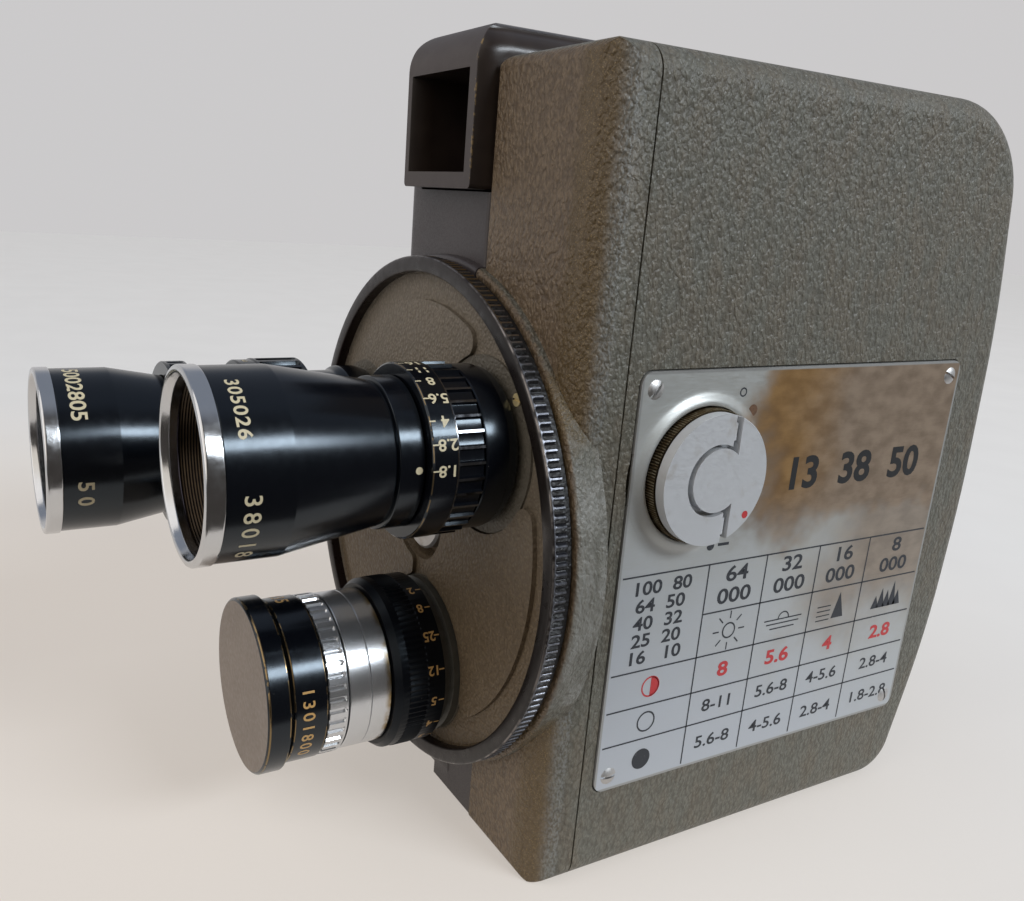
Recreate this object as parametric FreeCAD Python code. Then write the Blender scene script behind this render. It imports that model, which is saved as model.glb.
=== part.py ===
# Spring-wound movie camera with a three-lens turret, in millimetres.
# +Z is up, the lenses face -Y and the film door is on the +X side.
# The origin is the mouth of the tripod bush, straight below the turret's axis.
import FreeCAD, Part
import math
import os

V = FreeCAD.Vector
os.makedirs("parts", exist_ok=True)

# Body
BODY_H = 130.0
SIDE_X = 41.0
LEFT_X = -20.0
SPLIT_X = 10.8
FRONT_Y = -40.0
SEAM_Y = -33.0
REAR_Y = 56.0
REAR_MID_Z = 60.0
WALL = 1.8
CORNER_R = 6.9
EDGE_R = 4.5
FRONT_TOP_R = 3.0
FRONT_BOTTOM_R = 1.6
FRONT_LEFT_R = 2.6
PLATE_T = 2.6
GAP = 0.3
RUN = 0.05
STRIP_SETBACK = 0.4
STRIP_EDGE_R = 0.8
TONGUE_X = 19.1
TONGUE_TOP_Z = 20.0
TONGUE_T = 0.8
FOOT_TOP_Z = 11.5
BUSH_R = 5.5
BUSH_L = 9.5
TRIPOD_R = 2.55
TRIPOD_L = 8.0

# Turret and its boss
TURRET_Z = 53.7
TURRET_R = 45.0
LIP_R = 42.4
LIP_FRONT = -45.3
RIM_BACK = -42.8
DISH_Y = -43.0
SEAT_Y = -43.4
TURRET_BACK = -38.5
SPIGOT_R = 41.6
BOSS_R = 45.5
BOSS_FRONT = -41.3
BOSS_BACK = -36.1
KNURL_COUNT = 216
KNURL_DEPTH = 0.45
HUB_R = 7.3
HUB_FACE = -43.1
HUB_FLOOR = -40.2
HUB_BACK = -31.7
PIVOT_R = 4.5
PAD_R = 37.7
PAD_RISE = 0.8
PAD_HUB_R = 9.4
PAD_HALF_DEG = 45.4
PAD_OUTER_CORNER_R = 2.3
PAD_INNER_CORNER_R = 1.3

# Lenses on the turret
ORBIT_R = 26.5
SHORT_DEG = 41.0
LONG_DEG = SHORT_DEG + 120.0
STANDARD_DEG = SHORT_DEG - 120.0
THREAD_R = 7.85
THREAD_L = 4.0
SEAT_R = 14.2
SLEEVE_T = 1.4

# Finder
FINDER_X0 = -13.2
FINDER_X1 = 10.3
FINDER_Z0 = 110.0
FINDER_Z1 = 135.2
HOOD_Y = -43.3
FINDER_REAR_Y = 54.0
FINDER_RIGHT_R = 5.0
FINDER_LEFT_R = 3.0
FINDER_BASE_R = 0.8
HOOD_ROLL_R = 6.5
WINDOW_X0 = -11.8
WINDOW_X1 = 8.2
WINDOW_Z0 = 112.5
WINDOW_Z1 = 128.0
HOOD_DEPTH = 12.5
LENS_T = 2.0
EYE_R = 5.0
EYECUP_R = 9.0
EYECUP_L = 4.0

# Door plate and knob
TABLE_Y0 = -30.3
TABLE_Y1 = 43.5
TABLE_Z0 = 16.8
TABLE_Z1 = 86.3
TABLE_R = 2.0
TABLE_T = 0.8
TABLE_PROUD = 0.3
TABLE_SCREW_IN = 2.7
TABLE_SCREW_R = 1.5
TABLE_HOLE_R = 0.8
KNOB_Y = -17.2
KNOB_Z = 70.1
KNOB_R = 10.4
KNOB_PROUD = 4.5
KNOB_KNURLS = 72
DISH_R = 13.7
DISH_IN_R = 10.85
DISH_RISE = 1.0
DISH_DROP = 1.2
BAIL_T = 1.8
BAIL_IN_R = 5.7
BAIL_AXIS = 2.3
CORE_R = 5.05
CORE_SHIFT = 0.4
KNOB_SHAFT_R = 3.0
LATCH_L = 15.2
LATCH_W = 5.0
LATCH_T = 1.6
LATCH_X = 34.2
LATCH_REST_DEG = 90.0

# Film path
FILM_CX = 22.9
SPOOL_W = 17.8
SPOOL_R = 25.4
SPOOL_CORE_R = 12.0
SPOOL_FLANGE_T = 0.8
SPINDLE_R = 3.9
FEED_Y, FEED_Z = 22.0, 99.0
TAKEUP_Y, TAKEUP_Z = 20.0, 31.0
FILM_Y = -31.1
GATE_T = 1.5
FILM_GUIDES = [(-20.0, 93.0), (-20.0, 45.0)]
GUIDE_PIN_R = 1.6
LIGHT_R = 5.0
GATE_LIGHT_R = 3.6

# Drive train, with gear axes along X given as (y, z)
MODULE = 0.6
GREAT_TEETH = 80
PINION_TEETH = 20
WHEEL_TEETH = 40
SPROCKET_TEETH = 20
SHUTTER_TEETH = 63
GOVERNOR_TEETH = 20
TAKEUP_TEETH = 91
TAKEUP_PINION_TEETH = 32
BARREL_Y, BARREL_Z = 22.0, 36.0
BARREL_R = 22.0
WHEEL_DEG = 110.0
SPROCKET_DEG = 200.0
GOVERNOR_DEG = 45.0
SHUTTER_X, SHUTTER_Z = 6.8, 84.0
SHUTTER_R = 21.8
SHUTTER_Y = -36.2
SHUTTER_T = 0.4
SHUTTER_SHAFT_R = 1.2
BEVEL_R = 4.0
BEVEL_TEETH = 10
ARBOR_R = 1.5
WINDING_R = 2.2
MECH_X0 = -14.0
MECH_T = 1.5

# Outside of the mechanism cover
DIAL_Y, DIAL_Z, DIAL_R = -22.0, 34.0, 8.0
WINDOW_Y, WINDOW_Z, WINDOW_R = 14.0, 88.0, 8.0
COVER_SCREW_R = 1.25
COVER_HEAD_R = 2.4
DIAL_SHAFT_R = 2.0
BUTTON_Y, BUTTON_Z = -24.0, 76.0
BUTTON_TRAVEL = 5.0
KEY_HUB_R = 7.0
KEY_L = 25.0
KEY_W = 18.0
KEY_T = 2.2
KEY_WIRE = 4.0

PIECES = {}


def keep(name, shape):
    # Stores one named piece.
    PIECES[name] = shape


def box(x0, x1, y0, y1, z0, z1):
    return Part.makeBox(x1 - x0, y1 - y0, z1 - z0, V(x0, y0, z0))


def rod_x(y, z, r, x0, x1):
    return Part.makeCylinder(r, x1 - x0, V(x0, y, z), V(1, 0, 0))


def rod_y(x, z, r, y0, y1):
    return Part.makeCylinder(r, y1 - y0, V(x, y0, z), V(0, 1, 0))


def rod_z(x, y, r, z0, z1):
    return Part.makeCylinder(r, z1 - z0, V(x, y, z0), V(0, 0, 1))


def turned_y(x, z, profile):
    # Turns a closed profile of (radius, y) points about the line along Y through (x, z).
    pts = [V(x + r, y, z) for r, y in profile]
    face = Part.Face(Part.makePolygon(pts + [pts[0]]))
    return face.revolve(V(x, 0, z), V(0, 1, 0), 360)


def turned_x(y, z, profile):
    # Turns a closed profile of (radius, x) points about the line along X through (y, z).
    pts = [V(x, y + r, z) for r, x in profile]
    face = Part.Face(Part.makePolygon(pts + [pts[0]]))
    return face.revolve(V(0, y, z), V(1, 0, 0), 360)


def rounded_wire(points):
    # Joins (a, b, radius) corners with lines, and rounds each corner with a tangent arc.
    n = len(points)
    starts, ends, arcs = [], [], []
    for i, (a, b, r) in enumerate(points):
        p = V(a, b, 0)
        prev = V(points[i - 1][0], points[i - 1][1], 0) - p
        nxt = V(points[(i + 1) % n][0], points[(i + 1) % n][1], 0) - p
        prev.normalize()
        nxt.normalize()
        half = prev.getAngle(nxt) / 2
        if r <= 0:
            starts.append(p)
            ends.append(p)
            arcs.append(None)
            continue
        t = r / math.tan(half)
        mid = prev + nxt
        mid.normalize()
        starts.append(p + prev * t)
        ends.append(p + nxt * t)
        arcs.append(p + mid * (r / math.sin(half) - r))
    edges = []
    for i in range(n):
        if arcs[i] is not None:
            edges.append(Part.Arc(starts[i], arcs[i], ends[i]).toShape())
        a, b = ends[i], starts[(i + 1) % n]
        if a.distanceToPoint(b) > 1e-6:
            edges.append(Part.LineSegment(a, b).toShape())
    return Part.Wire(edges)


def prism(points, plane, low, high):
    # Extrudes a rounded outline along the axis normal to its plane: "yz", "xz" or "xy".
    return extrude_wire(rounded_wire(points), plane, low, high)


def extrude_wire(wire, plane, low, high):
    face = Part.Face(wire)
    solid = face.extrude(V(0, 0, high - low))
    turn = {
        "xy": FreeCAD.Matrix(1, 0, 0, 0, 0, 1, 0, 0, 0, 0, 1, low),
        "yz": FreeCAD.Matrix(0, 0, 1, low, 1, 0, 0, 0, 0, 1, 0, 0),
        "xz": FreeCAD.Matrix(1, 0, 0, 0, 0, 0, -1, high, 0, 1, 0, 0),
    }[plane]
    return solid.transformed(turn)


def side_outline(front_y, front_r=0.0):
    # Side view of the body: flat top and base, slightly bowed back with large rounded corners.
    rear_low_y = REAR_Y - 1.8
    rear_base_y = REAR_Y - 8.8
    rear_high_y = REAR_Y - 0.8
    rear_top_y = REAR_Y - 6.5
    return [
        (front_y, 0, front_r),
        (rear_base_y, 0, 9),
        (rear_low_y, REAR_MID_Z / 2, 150),
        (REAR_Y, REAR_MID_Z, 200),
        (rear_high_y, REAR_MID_Z + 33, 160),
        (rear_top_y, BODY_H, 18),
        (front_y, BODY_H, front_r),
    ]


def inset_prism(front_y, inset, x0, x1):
    # The body's side outline moved inwards by inset, with a square front.
    wire = rounded_wire(side_outline(front_y)).makeOffset2D(-inset)
    return extrude_wire(wire, "yz", x0, x1)


def outer_edges(shape, x, skip_y=None):
    # The edges of the face at x, but not the ones that lie in the plane y = skip_y.
    found = []
    for e in shape.Edges:
        b = e.BoundBox
        if abs(b.XMin - x) > 1e-4 or abs(b.XMax - x) > 1e-4:
            continue
        if skip_y is not None and abs(b.YMin - skip_y) < 1e-4 and abs(b.YMax - skip_y) < 1e-4:
            continue
        found.append(e)
    return found


def lens_axis(deg):
    a = math.radians(deg)
    return ORBIT_R * math.cos(a), TURRET_Z + ORBIT_R * math.sin(a)


def gear_wire(teeth, phase_deg):
    # Tooth outline at MODULE, with 8 percent of the pitch left as backlash.
    pitch_r = MODULE * teeth / 2
    pitch = 360.0 / teeth
    shape = ((-0.31, -1.2), (-0.21, 0.0), (-0.10, 0.85), (0.10, 0.85), (0.21, 0.0), (0.31, -1.2))
    pts = []
    for i in range(teeth):
        for share, height in shape:
            a = math.radians(phase_deg + (i + share) * pitch)
            r = pitch_r + height * MODULE
            pts.append(V(r * math.cos(a), r * math.sin(a), 0))
    return Part.makePolygon(pts + [pts[0]])


def gear(teeth, phase_deg, y, z, x0, x1):
    solid = extrude_wire(gear_wire(teeth, phase_deg), "yz", x0, x1)
    solid.translate(V(0, y, z))
    return solid


def mesh_phase(teeth_a, phase_a, centre_a, teeth_b, centre_b):
    # The phase that puts gear b's teeth in gear a's gaps on the line between their centres.
    line = math.degrees(math.atan2(centre_b[1] - centre_a[1], centre_b[0] - centre_a[0]))
    off = (line - phase_a) % (360.0 / teeth_a)
    return line + 180.0 + off * teeth_a / teeth_b + 180.0 / teeth_b


def polar(centre, r, deg):
    a = math.radians(deg)
    return centre[0] + r * math.cos(a), centre[1] + r * math.sin(a)


def pitch_distance(teeth_a, teeth_b):
    return MODULE * (teeth_a + teeth_b) / 2


BARREL = (BARREL_Y, BARREL_Z)
WHEEL = polar(BARREL, pitch_distance(GREAT_TEETH, PINION_TEETH), WHEEL_DEG)
SPROCKET = polar(WHEEL, pitch_distance(WHEEL_TEETH, SPROCKET_TEETH), SPROCKET_DEG)
GOVERNOR = polar(WHEEL, pitch_distance(WHEEL_TEETH, GOVERNOR_TEETH), GOVERNOR_DEG)
DRIVE_RISE = SHUTTER_Z - WHEEL[1]
DRIVE_REACH = pitch_distance(WHEEL_TEETH, SHUTTER_TEETH)
DRIVE = (WHEEL[0] - math.sqrt(DRIVE_REACH ** 2 - DRIVE_RISE ** 2), SHUTTER_Z)
TAKEUP_REACH = pitch_distance(TAKEUP_TEETH, TAKEUP_PINION_TEETH)
TAKEUP_LINE = math.degrees(math.atan2(TAKEUP_Z - SPROCKET[1], TAKEUP_Y - SPROCKET[0]))
TAKEUP = polar(SPROCKET, TAKEUP_REACH, TAKEUP_LINE)

SHORT = lens_axis(SHORT_DEG)
LONG = lens_axis(LONG_DEG)
STANDARD = lens_axis(STANDARD_DEG)
PLATE_X0 = SPLIT_X + 0.2
PLATE_X1 = PLATE_X0 + PLATE_T
COVER_FRONT = FRONT_Y + STRIP_SETBACK
PILLARS = [(-31.0, 9.0), (43.0, 9.0), (46.0, 103.5), (-31.0, 103.0)]
PILLAR_R = 3.2
PILLAR_NECK_R = 2.0


def boss():
    disc = rod_y(0, TURRET_Z, BOSS_R, BOSS_FRONT, BOSS_BACK)
    front = [e for e in disc.Edges if abs(e.BoundBox.YMax - BOSS_FRONT) < 1e-4]
    return disc.makeFillet(0.9, front)


def turret_recess():
    return rod_y(0, TURRET_Z, SPIGOT_R + 0.4, BOSS_FRONT - 1, TURRET_BACK + 0.4)


def main_casting():
    # Front wall: plan, side and front outlines intersected, so that each edge has its own radius.
    x0 = SPLIT_X + GAP
    left = x0 - 0.1
    plan = prism(
        [(left, FRONT_Y, 1.0), (SIDE_X, FRONT_Y, CORNER_R), (SIDE_X, SEAM_Y, 0), (left, SEAM_Y, 0)],
        "xy", 0, BODY_H)
    side = prism(
        [(FRONT_Y, 0, FRONT_BOTTOM_R), (SEAM_Y, 0, 0), (SEAM_Y, BODY_H, 0), (FRONT_Y, BODY_H, FRONT_TOP_R)],
        "yz", left, SIDE_X)
    face = prism(
        [(left, 0, 0), (SIDE_X, 0, EDGE_R), (SIDE_X, BODY_H, EDGE_R), (left, BODY_H, FRONT_LEFT_R)],
        "xz", FRONT_Y, SEAM_Y)
    wall = plan.common(side).common(face)
    land = boss().common(box(left, 60, -60, 0, 0, BODY_H))
    middle = inset_prism(COVER_FRONT, WALL + GAP, PLATE_X0, PLATE_X1)
    middle = middle.cut(box(0, PLATE_X0 + 0.01, -60, 70, FINDER_Z0 - GAP, BODY_H))
    lug = box(-10, PLATE_X0 + 1, COVER_FRONT + WALL + GAP, -29.5, TURRET_Z - 10, TURRET_Z + 8.5)
    foot = box(-9, 5, -9, 9, WALL + GAP, FOOT_TOP_Z).fuse(box(4, PLATE_X0 + 1, -9, -3, WALL + GAP, FOOT_TOP_Z))
    bracket = box(PLATE_X1 - 0.5, FILM_CX + 4, -24, -21.5, SHORT[1] + 1, SHORT[1] + 12)
    lip = box(LATCH_X - 1, LATCH_X + LATCH_T + 1.5, SEAM_Y - 1, -30.4, KNOB_Z - 6, KNOB_Z + 6)
    lip = lip.cut(box(LATCH_X - 2, LATCH_X + LATCH_T + GAP, SEAM_Y, -30, KNOB_Z - 7, KNOB_Z + 7))
    solid = wall.fuse([land, middle, lug, foot, bracket, lip])
    for y, z in FILM_GUIDES:
        solid = solid.fuse(rod_x(y, z, GUIDE_PIN_R, PLATE_X1 - 0.5, FILM_CX + 9))
    solid = solid.fuse(rod_x(FEED_Y, FEED_Z, SPINDLE_R, PLATE_X1 - 0.5, FILM_CX + SPOOL_W / 2 + 2))
    # Openings: turret recess, pivot, taking aperture, shutter slot, claw channel.
    solid = solid.cut(turret_recess())
    solid = solid.cut(rod_y(0, TURRET_Z, PIVOT_R, -60, HUB_BACK + 0.2))
    solid = solid.cut(rod_y(SHORT[0], SHORT[1], LIGHT_R, BOSS_FRONT - 1, SHUTTER_Y - 0.5))
    solid = solid.cut(rod_y(SHORT[0], SHORT[1], GATE_LIGHT_R, SHUTTER_Y, SEAM_Y + 1))
    solid = solid.cut(rod_y(SHUTTER_X, SHUTTER_Z, SHUTTER_R + 0.6, SHUTTER_Y - 0.9, SHUTTER_Y + 1.6))
    solid = solid.cut(box(21.9, 23.9, SHUTTER_Y + 1.4, SEAM_Y + 0.1, 54, 84))
    solid = solid.cut(rod_z(0, 0, BUSH_R, -1, FOOT_TOP_Z + 0.5))
    hole_y, hole_z = detent_place()
    solid = solid.cut(rod_y(hole_y, hole_z, 1.3, TURRET_BACK, TURRET_BACK + 4.4))
    # Bores for the arbors that run in the middle plate, and the pressure plate's guide.
    for y, z in (WHEEL, GOVERNOR, DRIVE):
        solid = solid.cut(rod_x(y, z, ARBOR_R + RUN, PLATE_X0 - 1, PLATE_X1 - 0.8))
    solid = solid.cut(rod_x(SPROCKET[0], SPROCKET[1], 2.0 + RUN, PLATE_X0 - 1, PLATE_X1 + 1))
    solid = solid.cut(rod_x(TAKEUP[0], TAKEUP[1], 2.5 + RUN, PLATE_X0 - 1, PLATE_X1 + 1))
    solid = solid.cut(rod_y(FILM_CX, SHORT[1] + 6, 1.2 + RUN, -26, -20))
    # Step for the cover's tongue at the lower front.
    step = box(0, TONGUE_X + GAP, -60, FRONT_Y + TONGUE_T + 0.6 + GAP, -1, TONGUE_TOP_Z)
    solid = solid.cut(step.cut(rod_y(0, TURRET_Z, BOSS_R, -70, 0)))
    # Shutter shaft bearing.
    ear = box(SHUTTER_X - 4, PLATE_X0 + 1, -22.0, -19.5, SHUTTER_Z - 4, SHUTTER_Z + 4)
    solid = solid.fuse(ear).cut(rod_y(SHUTTER_X, SHUTTER_Z, SHUTTER_SHAFT_R + RUN, -23, -18))
    keep("main_casting", solid)


def cover_pillars():
    # Posts screwed to the middle plate, which carry the mechanism plate and take the cover's screws.
    posts = []
    for y, z in PILLARS:
        post = rod_x(y, z, PILLAR_R, MECH_X0 + MECH_T, PLATE_X0)
        posts.append(post.fuse(rod_x(y, z, PILLAR_NECK_R, LEFT_X + WALL + GAP, MECH_X0 + MECH_T + 0.1)))
    keep("cover_pillars", Part.makeCompound(posts))


def detent_place():
    # The ball sits between two lens seats, near the rim of the turret.
    a = math.radians(SHORT_DEG - 60.0)
    return 37.5 * math.cos(a), TURRET_Z + 37.5 * math.sin(a)


def mechanism_cover():
    x1 = SPLIT_X - 0.15
    outer = prism(side_outline(COVER_FRONT, 5.0), "yz", LEFT_X, x1)
    outer = outer.makeFillet(EDGE_R, outer_edges(outer, LEFT_X))
    strip = [e for e in outer_edges(outer, x1) if e.BoundBox.ZLength > 100 and e.BoundBox.YLength < 1e-3]
    outer = outer.makeFillet(STRIP_EDGE_R, strip)
    shell = outer.cut(inset_prism(COVER_FRONT, WALL, LEFT_X + WALL, x1 + 1))
    land = boss().common(box(LEFT_X + 0.5, x1, -60, COVER_FRONT + WALL, 0, BODY_H))
    tongue = box(x1 - 6, TONGUE_X, FRONT_Y + 0.6, FRONT_Y + 0.6 + TONGUE_T, 0.6, TONGUE_TOP_Z - GAP)
    tongue = tongue.cut(rod_y(0, TURRET_Z, BOSS_R + GAP, -70, 0))
    root = box(x1 - 6, x1, FRONT_Y + 0.6, COVER_FRONT + WALL, 0.6, TONGUE_TOP_Z - GAP)
    shell = shell.fuse([land, tongue, root.cut(rod_y(0, TURRET_Z, BOSS_R - 1, -70, 0))])
    shell = shell.cut(turret_recess())
    shell = shell.cut(rod_y(0, TURRET_Z, PIVOT_R + GAP, -60, -30))
    shell = shell.cut(rod_y(SHUTTER_X, SHUTTER_Z, SHUTTER_R + 0.6, SHUTTER_Y - 0.6, SHUTTER_Y + 1.6))
    notch = box(FINDER_X0 - GAP, x1 + 1, -60, 70, FINDER_Z0 - GAP, BODY_H + 5)
    shell = shell.cut(notch)
    shell = shell.cut(rod_z(0, 0, BUSH_R + RUN, -1, 5))
    shell = shell.cut(rod_x(BARREL_Y, BARREL_Z, 3.5, LEFT_X - 1, LEFT_X + 3))
    shell = shell.cut(rod_x(DIAL_Y, DIAL_Z, DIAL_SHAFT_R + RUN, LEFT_X - 1, LEFT_X + 3))
    shell = shell.cut(rod_x(WINDOW_Y, WINDOW_Z, WINDOW_R, LEFT_X - 1, LEFT_X + 3))
    slot = box(LEFT_X - 1, LEFT_X + 3, BUTTON_Y - 1.8, BUTTON_Y + 1.8, BUTTON_Z - 4 - BUTTON_TRAVEL, BUTTON_Z + 4)
    shell = shell.cut(slot)
    for y, z in PILLARS:
        shell = shell.cut(rod_x(y, z, COVER_SCREW_R + RUN, LEFT_X - 1, LEFT_X + 3))
    keep("mechanism_cover", shell)
    screws = []
    for y, z in PILLARS:
        head = rod_x(y, z, COVER_HEAD_R, LEFT_X - 0.8, LEFT_X)
        head = head.fuse(rod_x(y, z, COVER_SCREW_R, LEFT_X - 0.1, LEFT_X + WALL + GAP))
        screws.append(head.cut(box(LEFT_X - 1, LEFT_X - 0.4, y - 3, y + 3, z - 0.3, z + 0.3)))
    keep("cover_screws", Part.makeCompound(screws))


def finder():
    outline = [
        (FINDER_X0, FINDER_Z0, FINDER_BASE_R),
        (FINDER_X1, FINDER_Z0, FINDER_BASE_R),
        (FINDER_X1, FINDER_Z1, FINDER_RIGHT_R),
        (FINDER_X0, FINDER_Z1, FINDER_LEFT_R),
    ]
    rolled = [
        (HOOD_Y, FINDER_Z0, 0),
        (FINDER_REAR_Y, FINDER_Z0, 0),
        (FINDER_REAR_Y, FINDER_Z1, 0),
        (HOOD_Y, FINDER_Z1, HOOD_ROLL_R),
    ]
    solid = prism(outline, "xz", HOOD_Y, FINDER_REAR_Y)
    solid = solid.common(prism(rolled, "yz", FINDER_X0 - 1, FINDER_X1 + 1))
    lens_y = HOOD_Y + HOOD_DEPTH
    cx = (WINDOW_X0 + WINDOW_X1) / 2
    cz = (WINDOW_Z0 + WINDOW_Z1) / 2
    solid = solid.cut(box(WINDOW_X0, WINDOW_X1, HOOD_Y - 1, lens_y + LENS_T, WINDOW_Z0, WINDOW_Z1))
    tunnel = box(cx - 7, cx + 7, lens_y, FINDER_REAR_Y - 6, cz - 5.5, cz + 5.5)
    solid = solid.cut(tunnel)
    solid = solid.cut(rod_y(cx, cz, EYE_R, FINDER_REAR_Y - 7, FINDER_REAR_Y + 1))
    keep("finder_housing", solid)
    front = box(WINDOW_X0, WINDOW_X1, lens_y, lens_y + LENS_T, WINDOW_Z0, WINDOW_Z1)
    rear = rod_y(cx, cz, EYE_R, FINDER_REAR_Y - 2.5, FINDER_REAR_Y - 0.5)
    keep("finder_lenses", Part.makeCompound([front, rear]))
    cup = turned_y(cx, cz, [
        (EYE_R, FINDER_REAR_Y), (EYECUP_R, FINDER_REAR_Y), (EYECUP_R, FINDER_REAR_Y + EYECUP_L - 1),
        (EYECUP_R - 1.5, FINDER_REAR_Y + EYECUP_L), (EYE_R + 1.5, FINDER_REAR_Y + EYECUP_L - 0.8)])
    keep("finder_eyecup", cup)


def door():
    x0 = SPLIT_X + 0.15
    outer = prism(side_outline(SEAM_Y + GAP), "yz", x0, SIDE_X)
    outer = outer.makeFillet(EDGE_R, outer_edges(outer, SIDE_X, SEAM_Y + GAP))
    inner = inset_prism(SEAM_Y - 8, WALL, x0 - 1, SIDE_X - WALL)
    shell = outer.cut(inner)
    shell = shell.cut(box(0, 50, SEAM_Y - 12, SEAM_Y + GAP, -1, BODY_H + 1))
    bed_x = SIDE_X + TABLE_PROUD - TABLE_T
    table = [
        (TABLE_Y0, TABLE_Z0, TABLE_R), (TABLE_Y1, TABLE_Z0, TABLE_R),
        (TABLE_Y1, TABLE_Z1, TABLE_R), (TABLE_Y0, TABLE_Z1, TABLE_R)]
    g = 0.25
    bed = [
        (TABLE_Y0 - g, TABLE_Z0 - g, TABLE_R + g), (TABLE_Y1 + g, TABLE_Z0 - g, TABLE_R + g),
        (TABLE_Y1 + g, TABLE_Z1 + g, TABLE_R + g), (TABLE_Y0 - g, TABLE_Z1 + g, TABLE_R + g)]
    shell = shell.cut(prism(bed, "yz", bed_x, SIDE_X + 1))
    dish_x = bed_x - DISH_DROP + 0.2
    shell = shell.fuse(rod_x(KNOB_Y, KNOB_Z, DISH_R + 1, dish_x - WALL, bed_x - 0.05))
    shell = shell.cut(rod_x(KNOB_Y, KNOB_Z, DISH_R, dish_x, SIDE_X + 1))
    shell = shell.cut(rod_x(KNOB_Y, KNOB_Z, KNOB_SHAFT_R + RUN, LATCH_X, SIDE_X + 1))
    plate = prism(table, "yz", bed_x, bed_x + TABLE_T)
    plate = plate.cut(rod_x(KNOB_Y, KNOB_Z, DISH_R, bed_x - 1, SIDE_X + 2))
    screws = []
    for y in (TABLE_Y0 + TABLE_SCREW_IN, TABLE_Y1 - TABLE_SCREW_IN):
        for z in (TABLE_Z0 + TABLE_SCREW_IN, TABLE_Z1 - TABLE_SCREW_IN):
            hole = rod_x(y, z, TABLE_HOLE_R, bed_x - 2, SIDE_X + 2)
            plate = plate.cut(hole)
            shell = shell.cut(rod_x(y, z, TABLE_HOLE_R, bed_x - 2, bed_x + 1))
            top = bed_x + TABLE_T
            head = turned_x(y, z, [(0, top + 0.45), (0.9, top + 0.35), (TABLE_SCREW_R, top), (0, top)])
            head = head.fuse(rod_x(y, z, TABLE_HOLE_R, bed_x - 0.9, top + 0.1))
            screws.append(head.cut(box(top + 0.15, top + 1, y - 2, y + 2, z - 0.2, z + 0.2)))
    keep("film_door", shell)
    keep("exposure_plate", plate)
    keep("plate_screws", Part.makeCompound(screws))
    face_x = bed_x + TABLE_T
    ring = turned_x(KNOB_Y, KNOB_Z, [
        (DISH_R, dish_x), (DISH_R, face_x), (DISH_R - 0.9, face_x + 0.25 * DISH_RISE),
        (DISH_R - 1.8, face_x + 0.8 * DISH_RISE), (DISH_IN_R + 0.4, face_x + DISH_RISE),
        (DISH_IN_R, face_x + 0.85 * DISH_RISE), (DISH_IN_R, dish_x + 0.5),
        (KNOB_SHAFT_R + 1.0, dish_x + 0.5), (KNOB_SHAFT_R + 1.0, dish_x)])
    keep("knob_dish", ring)
    knob(dish_x + 0.5)


def knob(floor_x):
    top = SIDE_X + KNOB_PROUD
    base = floor_x + GAP
    pts = []
    for i in range(KNOB_KNURLS):
        for share, r in ((0.0, KNOB_R - 0.35), (0.25, KNOB_R), (0.6, KNOB_R)):
            a = 2 * math.pi * (i + share) / KNOB_KNURLS
            pts.append(V(r * math.cos(a), r * math.sin(a), 0))
    body = extrude_wire(Part.makePolygon(pts + [pts[0]]), "yz", base, top - 0.7)
    body.translate(V(0, KNOB_Y, KNOB_Z))
    body = body.fuse(turned_x(KNOB_Y, KNOB_Z, [
        (0, top - 0.75), (KNOB_R - 0.1, top - 0.75), (KNOB_R - 0.1, top - 0.15), (KNOB_R - 0.25, top), (0, top)]))
    axis_y = KNOB_Y + BAIL_AXIS
    pocket_x = top - BAIL_T - GAP
    swept = rod_x(KNOB_Y, KNOB_Z, KNOB_R + 1, pocket_x, top + 1)
    swept = swept.cut(rod_x(KNOB_Y + CORE_SHIFT, KNOB_Z, CORE_R, pocket_x - 1, top + 2))
    swept = swept.common(box(30, 60, KNOB_Y - 20, axis_y + BAIL_T / 2 + 0.5, KNOB_Z - 20, KNOB_Z + 20))
    body = body.cut(swept)
    shaft = rod_x(KNOB_Y, KNOB_Z, KNOB_SHAFT_R, LATCH_X, base + 0.5)
    keep("door_knob", body.fuse(shaft))
    ring = rod_x(KNOB_Y, KNOB_Z, KNOB_R - 0.1, pocket_x + GAP, top)
    ring = ring.cut(rod_x(KNOB_Y, KNOB_Z, BAIL_IN_R, pocket_x - 1, top + 1))
    ring = ring.common(box(30, 60, KNOB_Y - 20, axis_y, KNOB_Z - 20, KNOB_Z + 20))
    for s in (-1, 1):
        z0 = KNOB_Z + s * (BAIL_IN_R + KNOB_R - 1.2) / 2
        ring = ring.fuse(rod_z(top - BAIL_T / 2, axis_y, BAIL_T / 2, z0 - 1.3, z0 + 1.3))
    keep("knob_bail", ring)
    bar = box(LATCH_X, LATCH_X + LATCH_T, KNOB_Y, KNOB_Y + LATCH_L, KNOB_Z - LATCH_W / 2, KNOB_Z + LATCH_W / 2)
    bar = bar.fuse(rod_x(KNOB_Y, KNOB_Z, LATCH_W / 2 + 1, LATCH_X, LATCH_X + LATCH_T))
    bar = bar.cut(rod_x(KNOB_Y, KNOB_Z, KNOB_SHAFT_R, LATCH_X - 1, LATCH_X + 3))
    bar.rotate(V(0, KNOB_Y, KNOB_Z), V(1, 0, 0), LATCH_REST_DEG)
    keep("latch_bar", bar)


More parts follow.
